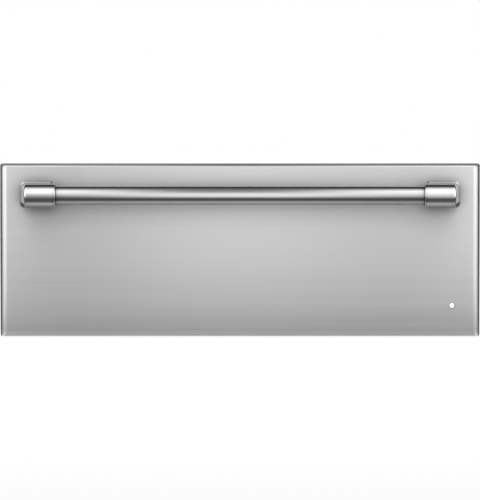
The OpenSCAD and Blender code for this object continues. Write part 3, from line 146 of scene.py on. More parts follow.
def brushedMetal(name, look):
    material, tree, shader = makeShader(name)
    fine = noise(tree, objectPoint(tree, look["grain"]), 1.0, 2.0)
    bands = noise(tree, objectPoint(tree, look["band"]), 1.0, 2.0)
    level = remap(tree, mathNode(tree, "ADD", fine, bands), 0.0, 1.0, 0.7, 1.3)
    colour = mixColours(tree, level, look["dark"], look["colour"])
    # painted shade: the colour darkens where the handle and posts stand close in front
    if look.get("shade"):
        colour = paintedCornerShade(tree, colour, look["shade"], look.get("fade"))
    fill(tree, shader, {
        "Base Color": colour, "Roughness": remap(tree, level, *look["roughness"], 0, 1),
        "Metallic": 1.0, "Anisotropic": look["anisotropic"], "Anisotropic Rotation": 0.25})
    if look["anisotropic"]:
        tangent = addNode(tree, "ShaderNodeTangent", direction_type="RADIAL", axis="Z")
        fill(tree, shader, {"Tangent": tangent.outputs["Tangent"]})
    addBump(tree, shader, fine, look["grainDepth"])
    return material


# shade: painted shade from ambient occlusion, as reach and power
satin = {
    "colour": (0.62, 0.62, 0.615), "dark": (0.55, 0.55, 0.545),
    "roughness": (0.13, 0.19), "anisotropic": 0.0,
    "grain": (9.0, 700.0, 700.0), "grainDepth": 0.000004,
    "band": (1.5, 25.0, 25.0), "shade": ((60 * mm, 2.4), (20 * mm, 0.6)),
}

# shade: painted shade from ambient occlusion, as reach and power
polished = {
    "colour": (0.72, 0.72, 0.72), "dark": (0.67, 0.67, 0.672),
    "roughness": (0.07, 0.11), "anisotropic": 0.0,
    "grain": (700.0, 40.0, 40.0), "grainDepth": 0.000003,
    "band": (25.0, 9.0, 9.0), "shade": ((60 * mm, 1.0), (20 * mm, 0.6)),
}

innerSteel = {
    "colour": (0.60, 0.60, 0.595), "dark": (0.52, 0.52, 0.52),
    "roughness": (0.28, 0.40), "anisotropic": 0.4,
    "grain": (25.0, 500.0, 500.0), "grainDepth": 0.000006,
    "band": (2.0, 15.0, 15.0),
}

panSteel = {
    "colour": (0.68, 0.68, 0.675), "dark": (0.60, 0.60, 0.60),
    "roughness": (0.20, 0.30), "anisotropic": 0.3,
    "grain": (350.0, 14.0, 350.0), "grainDepth": 0.000005,
    "band": (9.0, 2.0, 9.0),
}

chrome = {
    "colour": (0.70, 0.70, 0.71), "dark": (0.63, 0.63, 0.64),
    "roughness": (0.08, 0.16), "anisotropic": 0.0,
    "grain": (60.0, 60.0, 60.0), "grainDepth": 0.000004,
    "band": (20.0, 20.0, 20.0),
}

galvanised = {
    "cell": 150.0, "cellShift": 6 * mm, "cellBump": 0.00004,
    "light": (0.57, 0.58, 0.59), "dark": (0.49, 0.50, 0.512), "stain": (0.52, 0.525, 0.53),
    "roughness": (0.38, 0.47), "haze": (0.0, 0.6, 0.52, 0.75),
}


def spangledSheet(name, look):
    # hot-dip zinc: crystal cells, each with its own tone and gloss
    material, tree, shader = makeShader(name)
    warp = noise(tree, objectPoint(tree), 60.0, 2.0)
    point = addNode(tree, "ShaderNodeVectorMath",
                    {0: objectPoint(tree), 1: (look["cellShift"],) * 3}, operation="ADD")
    cells = addNode(tree, "ShaderNodeTexVoronoi",
                    {"Vector": point.outputs[0], "Scale": look["cell"], "Randomness": 1.0})
    tone = addNode(tree, "ShaderNodeSeparateColor", {"Color": cells.outputs["Color"]}).outputs
    level = mathNode(tree, "MULTIPLY_ADD", tone[0], warp, 0.12)
    base = mixColours(tree, level, look["dark"], look["light"])
    haze = remap(tree, noise(tree, objectPoint(tree), 7.0, 4.0), *look["haze"])
    fill(tree, shader, {
        "Base Color": mixColours(tree, haze, base, look["stain"]),
        "Roughness": remap(tree, tone[1], *look["roughness"], 0, 1), "Metallic": 1.0})
    addBump(tree, shader, tone[2], look["cellBump"], 0.4)
    return material


plated = {
    "zinc": {"colour": (0.60, 0.62, 0.64), "dark": (0.50, 0.52, 0.55), "roughness": (0.24, 0.38)},
    "cage_brass": {"colour": (0.72, 0.55, 0.28), "dark": (0.60, 0.44, 0.20), "roughness": (0.22, 0.36)},
    "ball_steel": {"colour": (0.74, 0.74, 0.75), "dark": (0.68, 0.68, 0.69), "roughness": (0.05, 0.10)},
    "fastener": {"colour": (0.58, 0.59, 0.60), "dark": (0.42, 0.43, 0.44), "roughness": (0.22, 0.40)},
    "sheath": {"colour": (0.30, 0.275, 0.25), "dark": (0.19, 0.175, 0.165), "roughness": (0.38, 0.55)},
    "brass_nut": {"colour": (0.76, 0.60, 0.30), "dark": (0.64, 0.48, 0.22), "roughness": (0.20, 0.34)},
    "copper": {"colour": (0.80, 0.47, 0.33), "dark": (0.60, 0.32, 0.22), "roughness": (0.22, 0.38)},
}


def platedMetal(name, look):
    material, tree, shader = makeShader(name)
    cloud = noise(tree, objectPoint(tree), 45.0, 5.0)
    fine = noise(tree, objectPoint(tree), 900.0, 2.0)
    base = mixColours(tree, remap(tree, cloud, 0.0, 1.0), look["dark"], look["colour"])
    bright = tuple(min(1.0, c * 1.18) for c in look["colour"])
    fill(tree, shader, {
        "Base Color": mixColours(tree, edgeWear(tree), base, bright),
        "Roughness": remap(tree, fine, *look["roughness"]), "Metallic": 1.0})
    addBump(tree, shader, fine, 0.00001)
    return material


# Enamel, plastics, rubber, glass cloth and wool

coated = {
    "liner_enamel": {"colour": (0.43, 0.44, 0.45), "dark": (0.36, 0.37, 0.38), "scale": 700.0,
                     "roughness": (0.28, 0.36), "depth": 0.00003, "coat": 0.3, "metallic": 0.55},
    "ceramic_white": {"colour": (0.80, 0.78, 0.73), "dark": (0.72, 0.69, 0.63), "scale": 260.0,
                      "roughness": (0.42, 0.58), "depth": 0.00004, "coat": 0.1},
    "control_white": {"colour": (0.74, 0.73, 0.69), "dark": (0.66, 0.65, 0.61), "scale": 420.0,
                      "roughness": (0.36, 0.48), "depth": 0.00002, "coat": 0.0},
    "knob_black": {"colour": (0.030, 0.031, 0.033), "dark": (0.018, 0.019, 0.020), "scale": 900.0,
                   "roughness": (0.30, 0.42), "depth": 0.00003, "coat": 0.15},
    "inlet_black": {"colour": (0.034, 0.034, 0.036), "dark": (0.022, 0.022, 0.023), "scale": 1100.0,
                    "roughness": (0.40, 0.55), "depth": 0.00004, "coat": 0.0},
    "wire_red": {"colour": (0.42, 0.045, 0.035), "dark": (0.30, 0.03, 0.025), "scale": 500.0,
                 "roughness": (0.38, 0.50), "depth": 0.00003, "coat": 0.0},
    "foot_rubber": {"colour": (0.045, 0.045, 0.047), "dark": (0.028, 0.028, 0.030), "scale": 600.0,
                    "roughness": (0.62, 0.80), "depth": 0.00008, "coat": 0.0},
    "lamp_ring": {"colour": (0.20, 0.20, 0.205), "dark": (0.13, 0.13, 0.135), "scale": 900.0,
                  "roughness": (0.30, 0.42), "depth": 0.00001, "coat": 0.0, "metallic": 0.6},
}


def coatedSurface(name, look):
    material, tree, shader = makeShader(name)
    fine = noise(tree, objectPoint(tree), look["scale"], 3.0)
    cloud = noise(tree, objectPoint(tree), 22.0, 4.0)
    base = mixColours(tree, remap(tree, cloud, 0, 1), look["dark"], look["colour"])
    pale = tuple(min(1.0, c * 1.3 + 0.01) for c in look["colour"])
    wear = mathNode(tree, "MULTIPLY", edgeWear(tree, 0.0005), cloud)
    fill(tree, shader, {
        "Base Color": mixColours(tree, wear, base, pale),
        "Roughness": remap(tree, fine, *look["roughness"]), "Metallic": look.get("metallic", 0.0),
        "Coat Weight": look["coat"], "Coat Roughness": 0.18})
    addBump(tree, shader, fine, look["depth"])
    return material


lampLens = {"colour": (0.90, 0.90, 0.89), "dark": (0.80, 0.80, 0.79), "roughness": (0.22, 0.32)}


def frostedLens(name, look):
    material, tree, shader = makeShader(name)
    cloud = noise(tree, objectPoint(tree), 300.0, 2.0)
    fill(tree, shader, {
        "Base Color": mixColours(tree, remap(tree, cloud, 0, 1), look["dark"], look["colour"]),
        "Roughness": remap(tree, cloud, *look["roughness"]), "Coat Weight": 0.3,
        "Subsurface Weight": 0.35, "Subsurface Radius": (2 * mm,) * 3, "Subsurface Scale": 1.0})
    addBump(tree, shader, cloud, 0.00001)
    return material


woolLook = {"light": (0.78, 0.72, 0.50), "dark": (0.55, 0.47, 0.26), "fibre": 420.0}


def glassWool(name, look):
    material, tree, shader = makeShader(name)
    long = noise(tree, objectPoint(tree, (1, 1, 5)), look["fibre"], 6.0, 0.7, 1.5)
    across = noise(tree, objectPoint(tree, (5, 1, 1)), look["fibre"] * 0.6, 6.0, 0.7, 2.0)
    both = mathNode(tree, "MULTIPLY", long, across)
    level = remap(tree, both, 0, 1, 0.15, 0.4)
    fill(tree, shader, {"Base Color": mixColours(tree, level, look["dark"], look["light"]),
                        "Roughness": 0.95, "Sheen Weight": 0.5, "Sheen Roughness": 0.5})
    addBump(tree, shader, both, 0.0016)
    return material


gasketLook = {"light": (0.62, 0.61, 0.57), "dark": (0.38, 0.37, 0.34), "thread": 1500.0}


def braidedCloth(name, look):
    material, tree, shader = makeShader(name)
    threads = addNode(tree, "ShaderNodeTexWave",
                      {"Vector": objectPoint(tree, (1, 0.4, 1)), "Scale": look["thread"],
                       "Distortion": 1.0}, bands_direction="DIAGONAL")
    fuzz = noise(tree, objectPoint(tree), 900.0, 4.0)
    both = mathNode(tree, "MULTIPLY", threads.outputs["Fac"], fuzz)
    level = remap(tree, both, 0, 1, 0.05, 0.5)
    fill(tree, shader, {"Base Color": mixColours(tree, level, look["dark"], look["light"]),
                        "Roughness": 0.9, "Sheen Weight": 0.3})
    addBump(tree, shader, both, 0.0003)
    return material


markPaint = {"colour": (0.84, 0.84, 0.82), "dark": (0.70, 0.70, 0.68)}


def pointerPaint(name, look):
    material, tree, shader = makeShader(name)
    cloud = noise(tree, objectPoint(tree), 500.0, 3.0)
    fill(tree, shader, {
        "Base Color": mixColours(tree, remap(tree, cloud, 0, 1), look["dark"], look["colour"]),
        "Roughness": 0.5})
    addBump(tree, shader, cloud, 0.00002)
    return material


finish = {
    "brushed_stainless": brushedMetal("brushedStainless", brushed),
    "satin_bar": brushedMetal("satinBar", satin),
    "polished_steel": brushedMetal("polishedSteel", polished),
    "inner_steel": brushedMetal("innerSteel", innerSteel),
    "pan_steel": brushedMetal("panSteel", panSteel),
    "rack_chrome": brushedMetal("rackChrome", chrome),
    "galvanised": spangledSheet("galvanised", galvanised),
    "wool": glassWool("glassWool", woolLook),
    "gasket": braidedCloth("gasketBraid", gasketLook),
    "lamp_clear": frostedLens("lampLens", lampLens),
}
for slotName, look in plated.items():
    finish[slotName] = platedMetal(slotName, look)
for slotName, look in coated.items():
    finish[slotName] = coatedSurface(slotName, look)
pointerWhite = pointerPaint("pointerWhite", markPaint)

slotOf = {}
for name, node in nodes.items():
    slotOf[name] = node.data.materials[0].name.split(".")[0]
    for spot in node.material_slots:
        spot.link = "OBJECT"
        spot.material = finish[slotOf[name]]
print("finishes:", len(finish))


# Mesh helpers; lengths in metres

def addObject(name, data):
    thing = bpy.data.objects.new(name, data)
    scene.collection.objects.link(thing)
    return thing


def addPiece(name, verts, faces, node, body, material=None, sharpAngle=32, slot=None):
    mesh = bpy.data.meshes.new(name)
    mesh.from_pydata([tuple(v) for v in verts], [], faces)
    work = bmesh.new()
    work.from_mesh(mesh)
    bmesh.ops.remove_doubles(work, verts=work.verts, dist=1e-6)
    bmesh.ops.recalc_face_normals(work, faces=work.faces)
    work.to_mesh(mesh)
    work.free()
    mesh.validate()
    mesh.shade_smooth()
    mesh.set_sharp_from_angle(angle=math.radians(sharpAngle))
    piece = addObject(name, mesh)
    slotName = slot or slotOf[node]
    mesh.materials.append(material or finish[slotName])
    even = piece.modifiers.new("evenNormals", "WEIGHTED_NORMAL")
    even.keep_sharp = True
    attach(piece, body)
    if node:
        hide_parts(node)
    return piece


def joinRings(rings, capped=True):
    verts = [p for ring in rings for p in ring]
    count, last = len(rings[0]), len(rings) - 1
    faces = []
    for i in range(last):
        for k in range(count):
            n = (k + 1) % count
            faces.append((i * count + k, i * count + n, (i + 1) * count + n, (i + 1) * count + k))
    if capped:
        faces.append(tuple(range(count))[::-1])
        faces.append(tuple(range(last * count, (last + 1) * count)))
    return verts, faces


def circle(radius, sides):
    angles = [2 * math.pi * k / sides for k in range(sides)]
    return [(radius * math.cos(a), radius * math.sin(a)) for a in angles]


def arc(cx, cy, radius, start, end, steps):
    return [(cx + radius * math.cos(math.radians(start + (end - start) * i / steps)),
             cy + radius * math.sin(math.radians(start + (end - start) * i / steps)))
            for i in range(steps + 1)]


def roundedRect(cx, cy, halfX, halfY, radius, steps=8):
    r = max(radius, 1e-6)
    return (arc(cx + halfX - r, cy + halfY - r, r, 0, 90, steps)
            + arc(cx - halfX + r, cy + halfY - r, r, 90, 180, steps)
            + arc(cx - halfX + r, cy - halfY + r, r, 180, 270, steps)
            + arc(cx + halfX - r, cy - halfY + r, r, 270, 360, steps))


def lathe(profile, centre, axis, sides=64, closed=True):
    # profile: (radius, distance along axis) pairs, turned round the axis through centre
    rings = []
    for radius, along in profile:
        ring = []
        for c, s in circle(radius, sides):
            ring.append({"X": (centre[0] + along, centre[1] + c, centre[2] + s),
                         "Y": (centre[0] + c, centre[1] + along, centre[2] + s),
                         "Z": (centre[0] + c, centre[1] + s, centre[2] + along)}[axis])
        rings.append(ring)
    if closed:
        rings.append(rings[0])
    return joinRings(rings, not closed)


def tubeAlong(points, radius, sides=14, closed=False):
    # tube on a list of points; its open ends are rounded off
    path = [Vector(p) for p in points]
    rings = []
    count = len(path)
    up = Vector((0.12, 0.23, 0.97)).normalized()
    for i, p in enumerate(path):
        before = path[(i - 1) % count] if (closed or i) else path[0]
        after = path[(i + 1) % count] if (closed or i < count - 1) else path[-1]
        along = (after - before).normalized()
        side = along.cross(up).normalized()
        over = side.cross(along).normalized()
        rings.append((p, side, over, along, radius))
    if not closed:
        first, last = rings[0], rings[-1]
        bend = (0.3, 0.7, 1.1, 1.45)
        head = [(first[0] + first[3] * radius * (1 - math.sin(a)), *first[1:4], radius * math.cos(a))
                for a in bend[::-1]]
        tail = [(last[0] - last[3] * radius * (1 - math.sin(a)), *last[1:4], radius * math.cos(a))
                for a in bend]
        rings = head + [(first[0] + first[3] * radius, *first[1:])] + rings[1:-1] + [
            (last[0] - last[3] * radius, *last[1:])] + tail
    loops = [[p + (side * c + over * s) * r for c, s in circle(1.0, sides)]
             for p, side, over, along, r in rings]
    if closed:
        loops.append(loops[0])
    return joinRings(loops, not closed)


def merge(parts):
    verts, faces = [], []
    for v, f in parts:
        base = len(verts)
        verts += list(v)
        faces += [tuple(i + base for i in face) for face in f]
    return verts, faces


def solidsOf(nodeName):
    # corner points of each separate solid of a CAD node
    mesh = nodes[nodeName].data
    work = bmesh.new()
    work.from_mesh(mesh)
    bmesh.ops.remove_doubles(work, verts=work.verts, dist=1e-6)
    left = set(work.verts)
    groups = []
    while left:
        start = left.pop()
        group, queue = [start], [start]
        while queue:
            for edge in queue.pop().link_edges:
                for v in edge.verts:
                    if v in left:
                        left.remove(v)
                        group.append(v)
                        queue.append(v)
        groups.append([v.co.copy() for v in group])
    work.free()
    groups.sort(key=lambda g: tuple(round(sum(p[i] for p in g) / len(g), 4) for i in range(3)))
    return groups


# Drawer front: folded sheet with a hole for the light
# topSweep: the top fold's curves, each with the angle it ends at and its radius

front = {"thick": 1.0 * mm, "sideBend": 10.4 * mm, "lowBend": 2.6 * mm, "corner": 2.5 * mm,
         "topSweep": ((20, 4.0 * mm), (48, 1.0 * mm), (66, 16 * mm), (90, 1.2 * mm)),
         "lip": 5.0 * mm, "bendSteps": 12, "cornerSteps": 5, "leastCorner": 0.4 * mm,
         "edgeRound": 1.2 * mm, "innerRound": 0.6 * mm, "band": 1.2 * mm, "holeGap": 0.05 * mm,
         "holeSides": 48}
skinLow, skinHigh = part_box("front_skin")
ringLow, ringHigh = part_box("light_ring")
lightX = (ringLow.x + ringHigh.x) / 2
lightZ = (ringLow.z + ringHigh.z) / 2
ringRadius = (ringHigh.x - ringLow.x) / 2


def sweepBend(sweep, inset, angle):
    # height left above and depth behind the face, where the fold has turned by this angle
    rise = depth = 0.0
    start = 0.0
    for end, radius in sweep:
        a, b = math.radians(start), math.radians(min(end, max(start, angle)))
        c = math.radians(end)
        r = max(radius - inset, 0.1 * mm)
        depth += r * (math.cos(a) - math.cos(b))
        rise += r * (math.sin(c) - math.sin(b))
        start = end
    return rise, inset + depth


def frontRing(inset, bendPart):
    # outline of the front at one step round its bends, which differ at the sides, top and bottom
    halfX = (skinHigh.x - skinLow.x) / 2
    a = math.pi / 2 * bendPart

    def back(bend):
        r = front[bend] - inset
        return r * (1 - math.sin(a)), inset + r * (1 - math.cos(a))

    (side, sideY), (low, lowY) = back("sideBend"), back("lowBend")
    top, topY = sweepBend(front["topSweep"], inset, 90 * bendPart)
    reachX = halfX - inset - side
    midZ = (skinHigh.z - top + skinLow.z + low) / 2
    reachZ = (skinHigh.z - top - skinLow.z - low) / 2 - inset
    corner = max(front["corner"] - inset, front["leastCorner"]) * (0.35 + 0.65 * bendPart)
    ring = []
    for x, z in roundedRect(0, midZ, reachX, reachZ, corner, front["cornerSteps"]):
        nearSide = min(1.0, max(0.0, (abs(x) - (reachX - corner)) / corner))
        nearEdge = min(1.0, max(0.0, (abs(z - midZ) - (reachZ - corner)) / corner))
        weight = nearSide / max(nearSide + nearEdge, 1e-9)
        edgeY = topY if z > midZ else lowY
        ring.append((x, skinLow.y + edgeY + (sideY - edgeY) * weight, z))
    return ring


def fillFace(work, ring, y, halfX, halfZ):
    # closes one side of the sheet round the light's hole, with a narrow flat band beside the bends
    midZ = (max(q[2] for q in ring) + min(q[2] for q in ring)) / 2
    shareX, shareZ = 1 - front["band"] / halfX, 1 - front["band"] / halfZ
    border = [work.verts.new((x * shareX, y, midZ + (z - midZ) * shareZ)) for x, _, z in ring]
    corners = [min(work.verts, key=lambda v, q=q: (v.co - Vector(q)).length_squared) for q in ring]
    hole = [work.verts.new((lightX + c, y, lightZ + s))
            for c, s in circle(ringRadius + front["holeGap"], front["holeSides"])]
    for k in range(len(ring)):
        n = (k + 1) % len(ring)
        work.faces.new((corners[k], corners[n], border[n], border[k]))
    edges = []
    for loop in (border, hole):
        for k in range(len(loop)):
            a, b = loop[k], loop[(k + 1) % len(loop)]
            edges.append(work.edges.get((a, b)) or work.edges.new((a, b)))
    bmesh.ops.triangle_fill(work, use_beauty=True, edges=edges, normal=(0, -1, 0))
    return hole


def makeFront():
    steps, t = front["bendSteps"], front["thick"]
    outer = [frontRing(0, i / steps) for i in range(steps + 1)]
    inner = [frontRing(t, i / steps) for i in range(steps, -1, -1)]
    rear = skinHigh.y
    midZ = (skinLow.z + skinHigh.z) / 2
    halfX = (skinHigh.x - skinLow.x) / 2
    halfZ = (skinHigh.z - skinLow.z) / 2

    def flat(inset, y):
        corner = max(front["corner"] - inset, front["leastCorner"])
        outline = roundedRect(0, midZ, halfX - inset, halfZ - inset, corner, front["cornerSteps"])
        return [(x, y, z) for x, z in outline]

    lip, innerRound = front["lip"], front["innerRound"]
    rearFold = [flat(0, rear - front["edgeRound"]), flat(0.25 * mm, rear - 0.35 * mm),
                flat(0.8 * mm, rear), flat(lip, rear), flat(lip, rear - t),
                flat(t + innerRound, rear - t), flat(t, rear - t - innerRound)]
    verts, faces = joinRings(outer + rearFold + inner, capped=False)
    mesh = addPiece("frontSkin", verts, faces, "front_skin", "drawer").data
    work = bmesh.new()
    work.from_mesh(mesh)
    outerHole = fillFace(work, outer[0], skinLow.y, halfX, halfZ)
    innerHole = fillFace(work, inner[-1], skinLow.y + t, halfX, halfZ)
    for k in range(front["holeSides"]):
        n = (k + 1) % front["holeSides"]
        work.faces.new((outerHole[k], outerHole[n], innerHole[n], innerHole[k]))
    bmesh.ops.recalc_face_normals(work, faces=work.faces)
    work.to_mesh(mesh)
    work.free()
    mesh.shade_smooth()
    mesh.set_sharp_from_angle(angle=math.radians(40))


makeFront()
print("front: folded skin")


# Handle: tube, two caps and two posts
# groove: depth and place of its points; neck and foot: half width and half height of a post;
# parts: shares of a post's depth at which its outline is drawn

handle = {
    "sides": 96, "wall": 1.5 * mm, "soft": 0.3 * mm, "lengthSteps": 24,
    "capEnd": 10 * mm, "capRound": 3.0 * mm, "rimChamfer": 0.8 * mm, "capGap": 0.05 * mm,
    "mouth": 0.4 * mm, "groove": ((0, 1.6 * mm), (0.25 * mm, 1.8 * mm), (0.25 * mm, 2.1 * mm), (0, 2.3 * mm)),
    "pinhole": 0.8 * mm, "seat": 0.1 * mm, "neck": (22.0 * mm, 15.0 * mm), "foot": (27.5 * mm, 21.25 * mm),
    "footEdge": 0.5 * mm, "corner": 7.0 * mm, "shift": 6.2 * mm, "neckDepth": 6.0 * mm,
    "bevel": 4.6 * mm, "bevelPart": 0.048,
    "parts": (0.012, 0.024, 0.036, 0.048, 0.052, 0.08, 0.14, 0.22, 0.34, 0.48, 0.64, 0.8, 0.92, 1.0),
}
barLow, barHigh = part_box("handle_bar")
capLow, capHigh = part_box("right_handle_cap")
axisY, axisZ = (barLow.y + barHigh.y) / 2, (barLow.z + barHigh.z) / 2
barRadius = (barHigh.y - barLow.y) / 2
capRadius = (capHigh.y - capLow.y) / 2


def makeBar():
    half, radius, soft = barHigh.x, barRadius, handle["soft"]
    inner = radius - handle["wall"]
    steps = handle["lengthSteps"]
    profile = [(inner, -half), (radius - soft, -half), (radius, -half + soft)]
    profile += [(radius, -half + 2 * half * i / steps) for i in range(1, steps)]
    profile += [(radius, half - soft), (radius - soft, half), (inner, half)]
    verts, faces = lathe(profile, (0, axisY, axisZ), "X", handle["sides"])
    addPiece("handleBar", verts, faces, "handle_bar", "drawer")


def makeCap(side, name, node):
    # profile from the bore's mouth over the groove and the face, then down a pinhole to the bore's end;
    # a disc closes the pinhole at the face, and the bar hides its other end
    bore = barRadius + handle["capGap"]
    length = capHigh.x - capLow.x
    depth = length - handle["capEnd"]
    c, r = handle["rimChamfer"], handle["capRound"]
    mouth, pinhole = handle["mouth"], handle["pinhole"]
    shape = [(bore, mouth), (bore + mouth, 0), (capRadius - c, 0)]
    shape += arc(capRadius - c, c, c, -90, 0, 5)[1:]
    shape += [(capRadius - deep, c + along) for deep, along in handle["groove"]]
    shape += [(capRadius, length - r - 1 * mm)]
    shape += arc(capRadius - r, length - r, r, 0, 90, 10)
    shape += [(capRadius * 0.55, length), (pinhole, length), (pinhole, depth), (bore, depth)]
    turned = [(radius, side * along) for radius, along in shape]
    start = side * capLow.x
    solid = lathe(turned, (start, axisY, axisZ), "X", handle["sides"])
    disc = [(start + side * length, axisY + y, axisZ + z) for y, z in circle(pinhole, handle["sides"])]
    addPiece(name, *merge([solid, (disc, [tuple(range(len(disc)))])]), node, "drawer")


def postOutline(side, part, scale=1.0):
    # part: 0 at the foot on the front, 1 at the neck behind the cap
    (footX, footZ), (neckX, neckZ) = handle["foot"], handle["neck"]
    bevelPart = handle["bevelPart"]
    halfX = footX + (neckX - footX) * part
    halfZ = footZ - handle["bevel"] * min(1.0, part / bevelPart)
    halfZ += (neckZ - halfZ) * max(0.0, part - bevelPart)
    middle = (capLow.x + capHigh.x) / 2 + handle["shift"] * (1 - part)
    return roundedRect(side * middle, axisZ, halfX * scale, halfZ * scale, handle["corner"] * scale, 9)


def makePost(side, name, node):
    footY, neckY = skinLow.y, axisY + handle["neckDepth"]
    reach = capRadius + handle["seat"]
    edge = handle["footEdge"]
    rings = []
    for forward, inset in ((0, 1), (0.4, 0.3)):
        outline = postOutline(side, 0, 1 - inset * edge / handle["foot"][0])
        rings.append([(x, footY - edge * forward, z) for x, z in outline])
    for part in handle["parts"]:
        ring = []
        for x, z in postOutline(side, part):
            surface = axisY + math.sqrt(max(reach ** 2 - (z - axisZ) ** 2, 1e-8))
            y = footY - edge + (min(neckY, surface) - footY + edge) * part
            ring.append((x, surface if part == 1 else max(y, surface), z))
        rings.append(ring)
    for scale in (0.75, 0.5, 0.25):
        rings.append([(x, axisY + math.sqrt(reach ** 2 - (z - axisZ) ** 2), z)
                      for x, z in postOutline(side, 1, scale)])
    verts, faces = joinRings(rings)
    addPiece(name, verts, faces, node, "drawer", sharpAngle=50)


makeBar()
for side, word in ((1, "Right"), (-1, "Left")):
    makeCap(side, "handleCap" + word, word.lower() + "_handle_cap")
for side, word in ((1, "Right"), (-1, "Left")):
    makePost(side, "handlePost" + word, word.lower() + "_handle_post")
print("handle: bar, caps and posts")


# Light: domed lens in a thin ring

light = {"dome": 0.5 * mm, "domeSteps": 8, "domePower": 2.4, "sides": 48, "rim": 0.25 * mm,
         "ringWall": 0.85 * mm, "ringGap": 0.05 * mm, "shoulder": 0.3 * mm,
         "flangeBehind": 4.0 * mm, "flangeThick": 1.5 * mm}


def makeLight():
    low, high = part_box("light_pipe")
    pipeRadius = ringRadius - light["ringWall"]
    flangeRadius = (high.x - low.x) / 2
    length, soft = high.y - low.y, light["shoulder"]
    shape = [(0.05 * mm, 0.0)]
    for i in range(1, light["domeSteps"] + 1):
        part = i / light["domeSteps"]
        shape.append((pipeRadius * part, light["dome"] * part ** light["domePower"]))
    flangeFront = skinLow.y + light["flangeBehind"] - low.y
    flangeRear = flangeFront + light["flangeThick"]
    shape += [(pipeRadius, light["dome"] + soft), (pipeRadius, flangeFront),
              (flangeRadius, flangeFront), (flangeRadius, flangeRear), (pipeRadius, flangeRear),
              (pipeRadius, length - soft), (pipeRadius - soft, length)]
    verts, faces = lathe(shape, (lightX, low.y, lightZ), "Y", light["sides"], closed=False)
    addPiece("lightLens", verts, faces, "light_pipe", "drawer")
    rim = light["rim"]
    depth = ringHigh.y - ringLow.y
    bore = pipeRadius + light["ringGap"]
    shape = [(bore, rim), (bore + rim, 0), (ringRadius - rim, 0), (ringRadius, rim),
             (ringRadius, depth), (bore, depth)]
    verts, faces = lathe(shape, (lightX, ringLow.y, lightZ), "Y", light["sides"])
    addPiece("lightRing", verts, faces, "light_ring", "drawer")


makeLight()
print("light: lens and ring")


# Pan with a rolled rim

pan = {"thick": 1.2 * mm, "rimWidth": 13.3 * mm, "corner": 38 * mm, "leastCorner": 4 * mm,
       "rimExtra": 4 * mm, "lean": 6 * mm, "floorRound": 16 * mm, "floorSteps": 12, "wallSteps": 7,
       "shoulder": 3.0 * mm, "shoulderSteps": 6, "roll": 1.6 * mm, "rollSteps": 8}


def makePan():
    low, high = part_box("pan")
    t, lean, out = pan["thick"], pan["lean"], pan["rimWidth"]
    shoulder, roll = pan["shoulder"], pan["roll"] * 0.6
    underShoulder = shoulder * 0.6
    floorZ, rimTop = low.z, high.z
    midX, midY = (low.x + high.x) / 2, (low.y + high.y) / 2
    wallX, wallY = (high.x - low.x) / 2 - out, (high.y - low.y) / 2 - out

    def ring(inset, z, extra=0.0):
        corner = max(pan["corner"] - inset * 0.5 + extra, pan["leastCorner"])
        return [(x, y, z) for x, y in roundedRect(midX, midY, wallX - inset, wallY - inset, corner, 10)]

    inside, outside = [], []
    for i in range(pan["floorSteps"] + 1):
        a = math.pi / 2 * i / pan["floorSteps"]
        r = pan["floorRound"] - t
        inside.append(ring(t + lean + r * (1 - math.sin(a)), floorZ + t + r * (1 - math.cos(a))))
        r = pan["floorRound"]
        outside.append(ring(lean + r * (1 - math.sin(a)), floorZ + r * (1 - math.cos(a))))
    wallLow, wallHigh = floorZ + pan["floorRound"], rimTop - shoulder
    for i in range(1, pan["wallSteps"]):
        part = i / pan["wallSteps"]
        z = wallLow + (wallHigh - wallLow) * part
        inside.append(ring(t + lean * (1 - part), z))
        outside.append(ring(lean * (1 - part), z))
    for i in range(pan["shoulderSteps"] + 1):
        a = math.pi / 2 * i / pan["shoulderSteps"]
        across, up = 1 - math.cos(a), 1 - math.sin(a)
        inside.append(ring(t - shoulder * across, rimTop - shoulder * up))
        outside.append(ring(-underShoulder * across, rimTop - t - underShoulder * up))
    edge = []
    for i in range(pan["rollSteps"] + 1):
        a = math.pi / 2 - math.pi * i / pan["rollSteps"]
        edge.append(ring(-out + roll - roll * math.cos(a), rimTop - t / 2 + t / 2 * math.sin(a),
                         pan["rimExtra"]))
    verts, faces = joinRings(inside + edge + outside[::-1])
    addPiece("dishPan", verts, faces, "pan", "drawer", sharpAngle=60)


makePan()
print("pan: drawn tub with a rolled rim")


# Wire rack

rack = {"rim": 2.5 * mm, "wire": 1.5 * mm, "count": 10, "corner": 9 * mm, "legIn": 20 * mm,
        "legShare": 0.9, "lift": 0.8}  # leg's thickness and the wires' height, as shares of the rim's radius


def makeRack():
    low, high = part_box("wire_rack")
    r, w = rack["rim"], rack["wire"]
    z = high.z - w - rack["lift"] * r
    cx, cy = (low.x + high.x) / 2, (low.y + high.y) / 2
    hx, hy = (high.x - low.x) / 2 - r, (high.y - low.y) / 2 - r
    outline = [(x, y, z) for x, y in roundedRect(cx, cy, hx, hy, rack["corner"], 8)]
    middle = [(low.x + r + 2 * hx * i / 8, cy, z) for i in range(9)]
    parts = [tubeAlong(outline, r, 16, closed=True), tubeAlong(middle, r, 16)]
    for i in range(1, rack["count"]):
        x = low.x + (high.x - low.x) * i / rack["count"]
        run = [(x, cy - hy + 2 * hy * k / 20, z + rack["lift"] * r) for k in range(21)]
        parts.append(tubeAlong(run, w, 12))
    for x in (low.x + rack["legIn"], high.x - rack["legIn"]):
        for y in (cy - hy, cy + hy):
            leg = [(x, y, z - (z - low.z) * k / 4) for k in range(5)]
            parts.append(tubeAlong(leg, r * rack["legShare"], 12))
    addPiece("wireRack", *merge(parts), "wire_rack", "drawer", sharpAngle=55)


makeRack()
print("rack: rim, cross wires and legs")


# Temperature knob

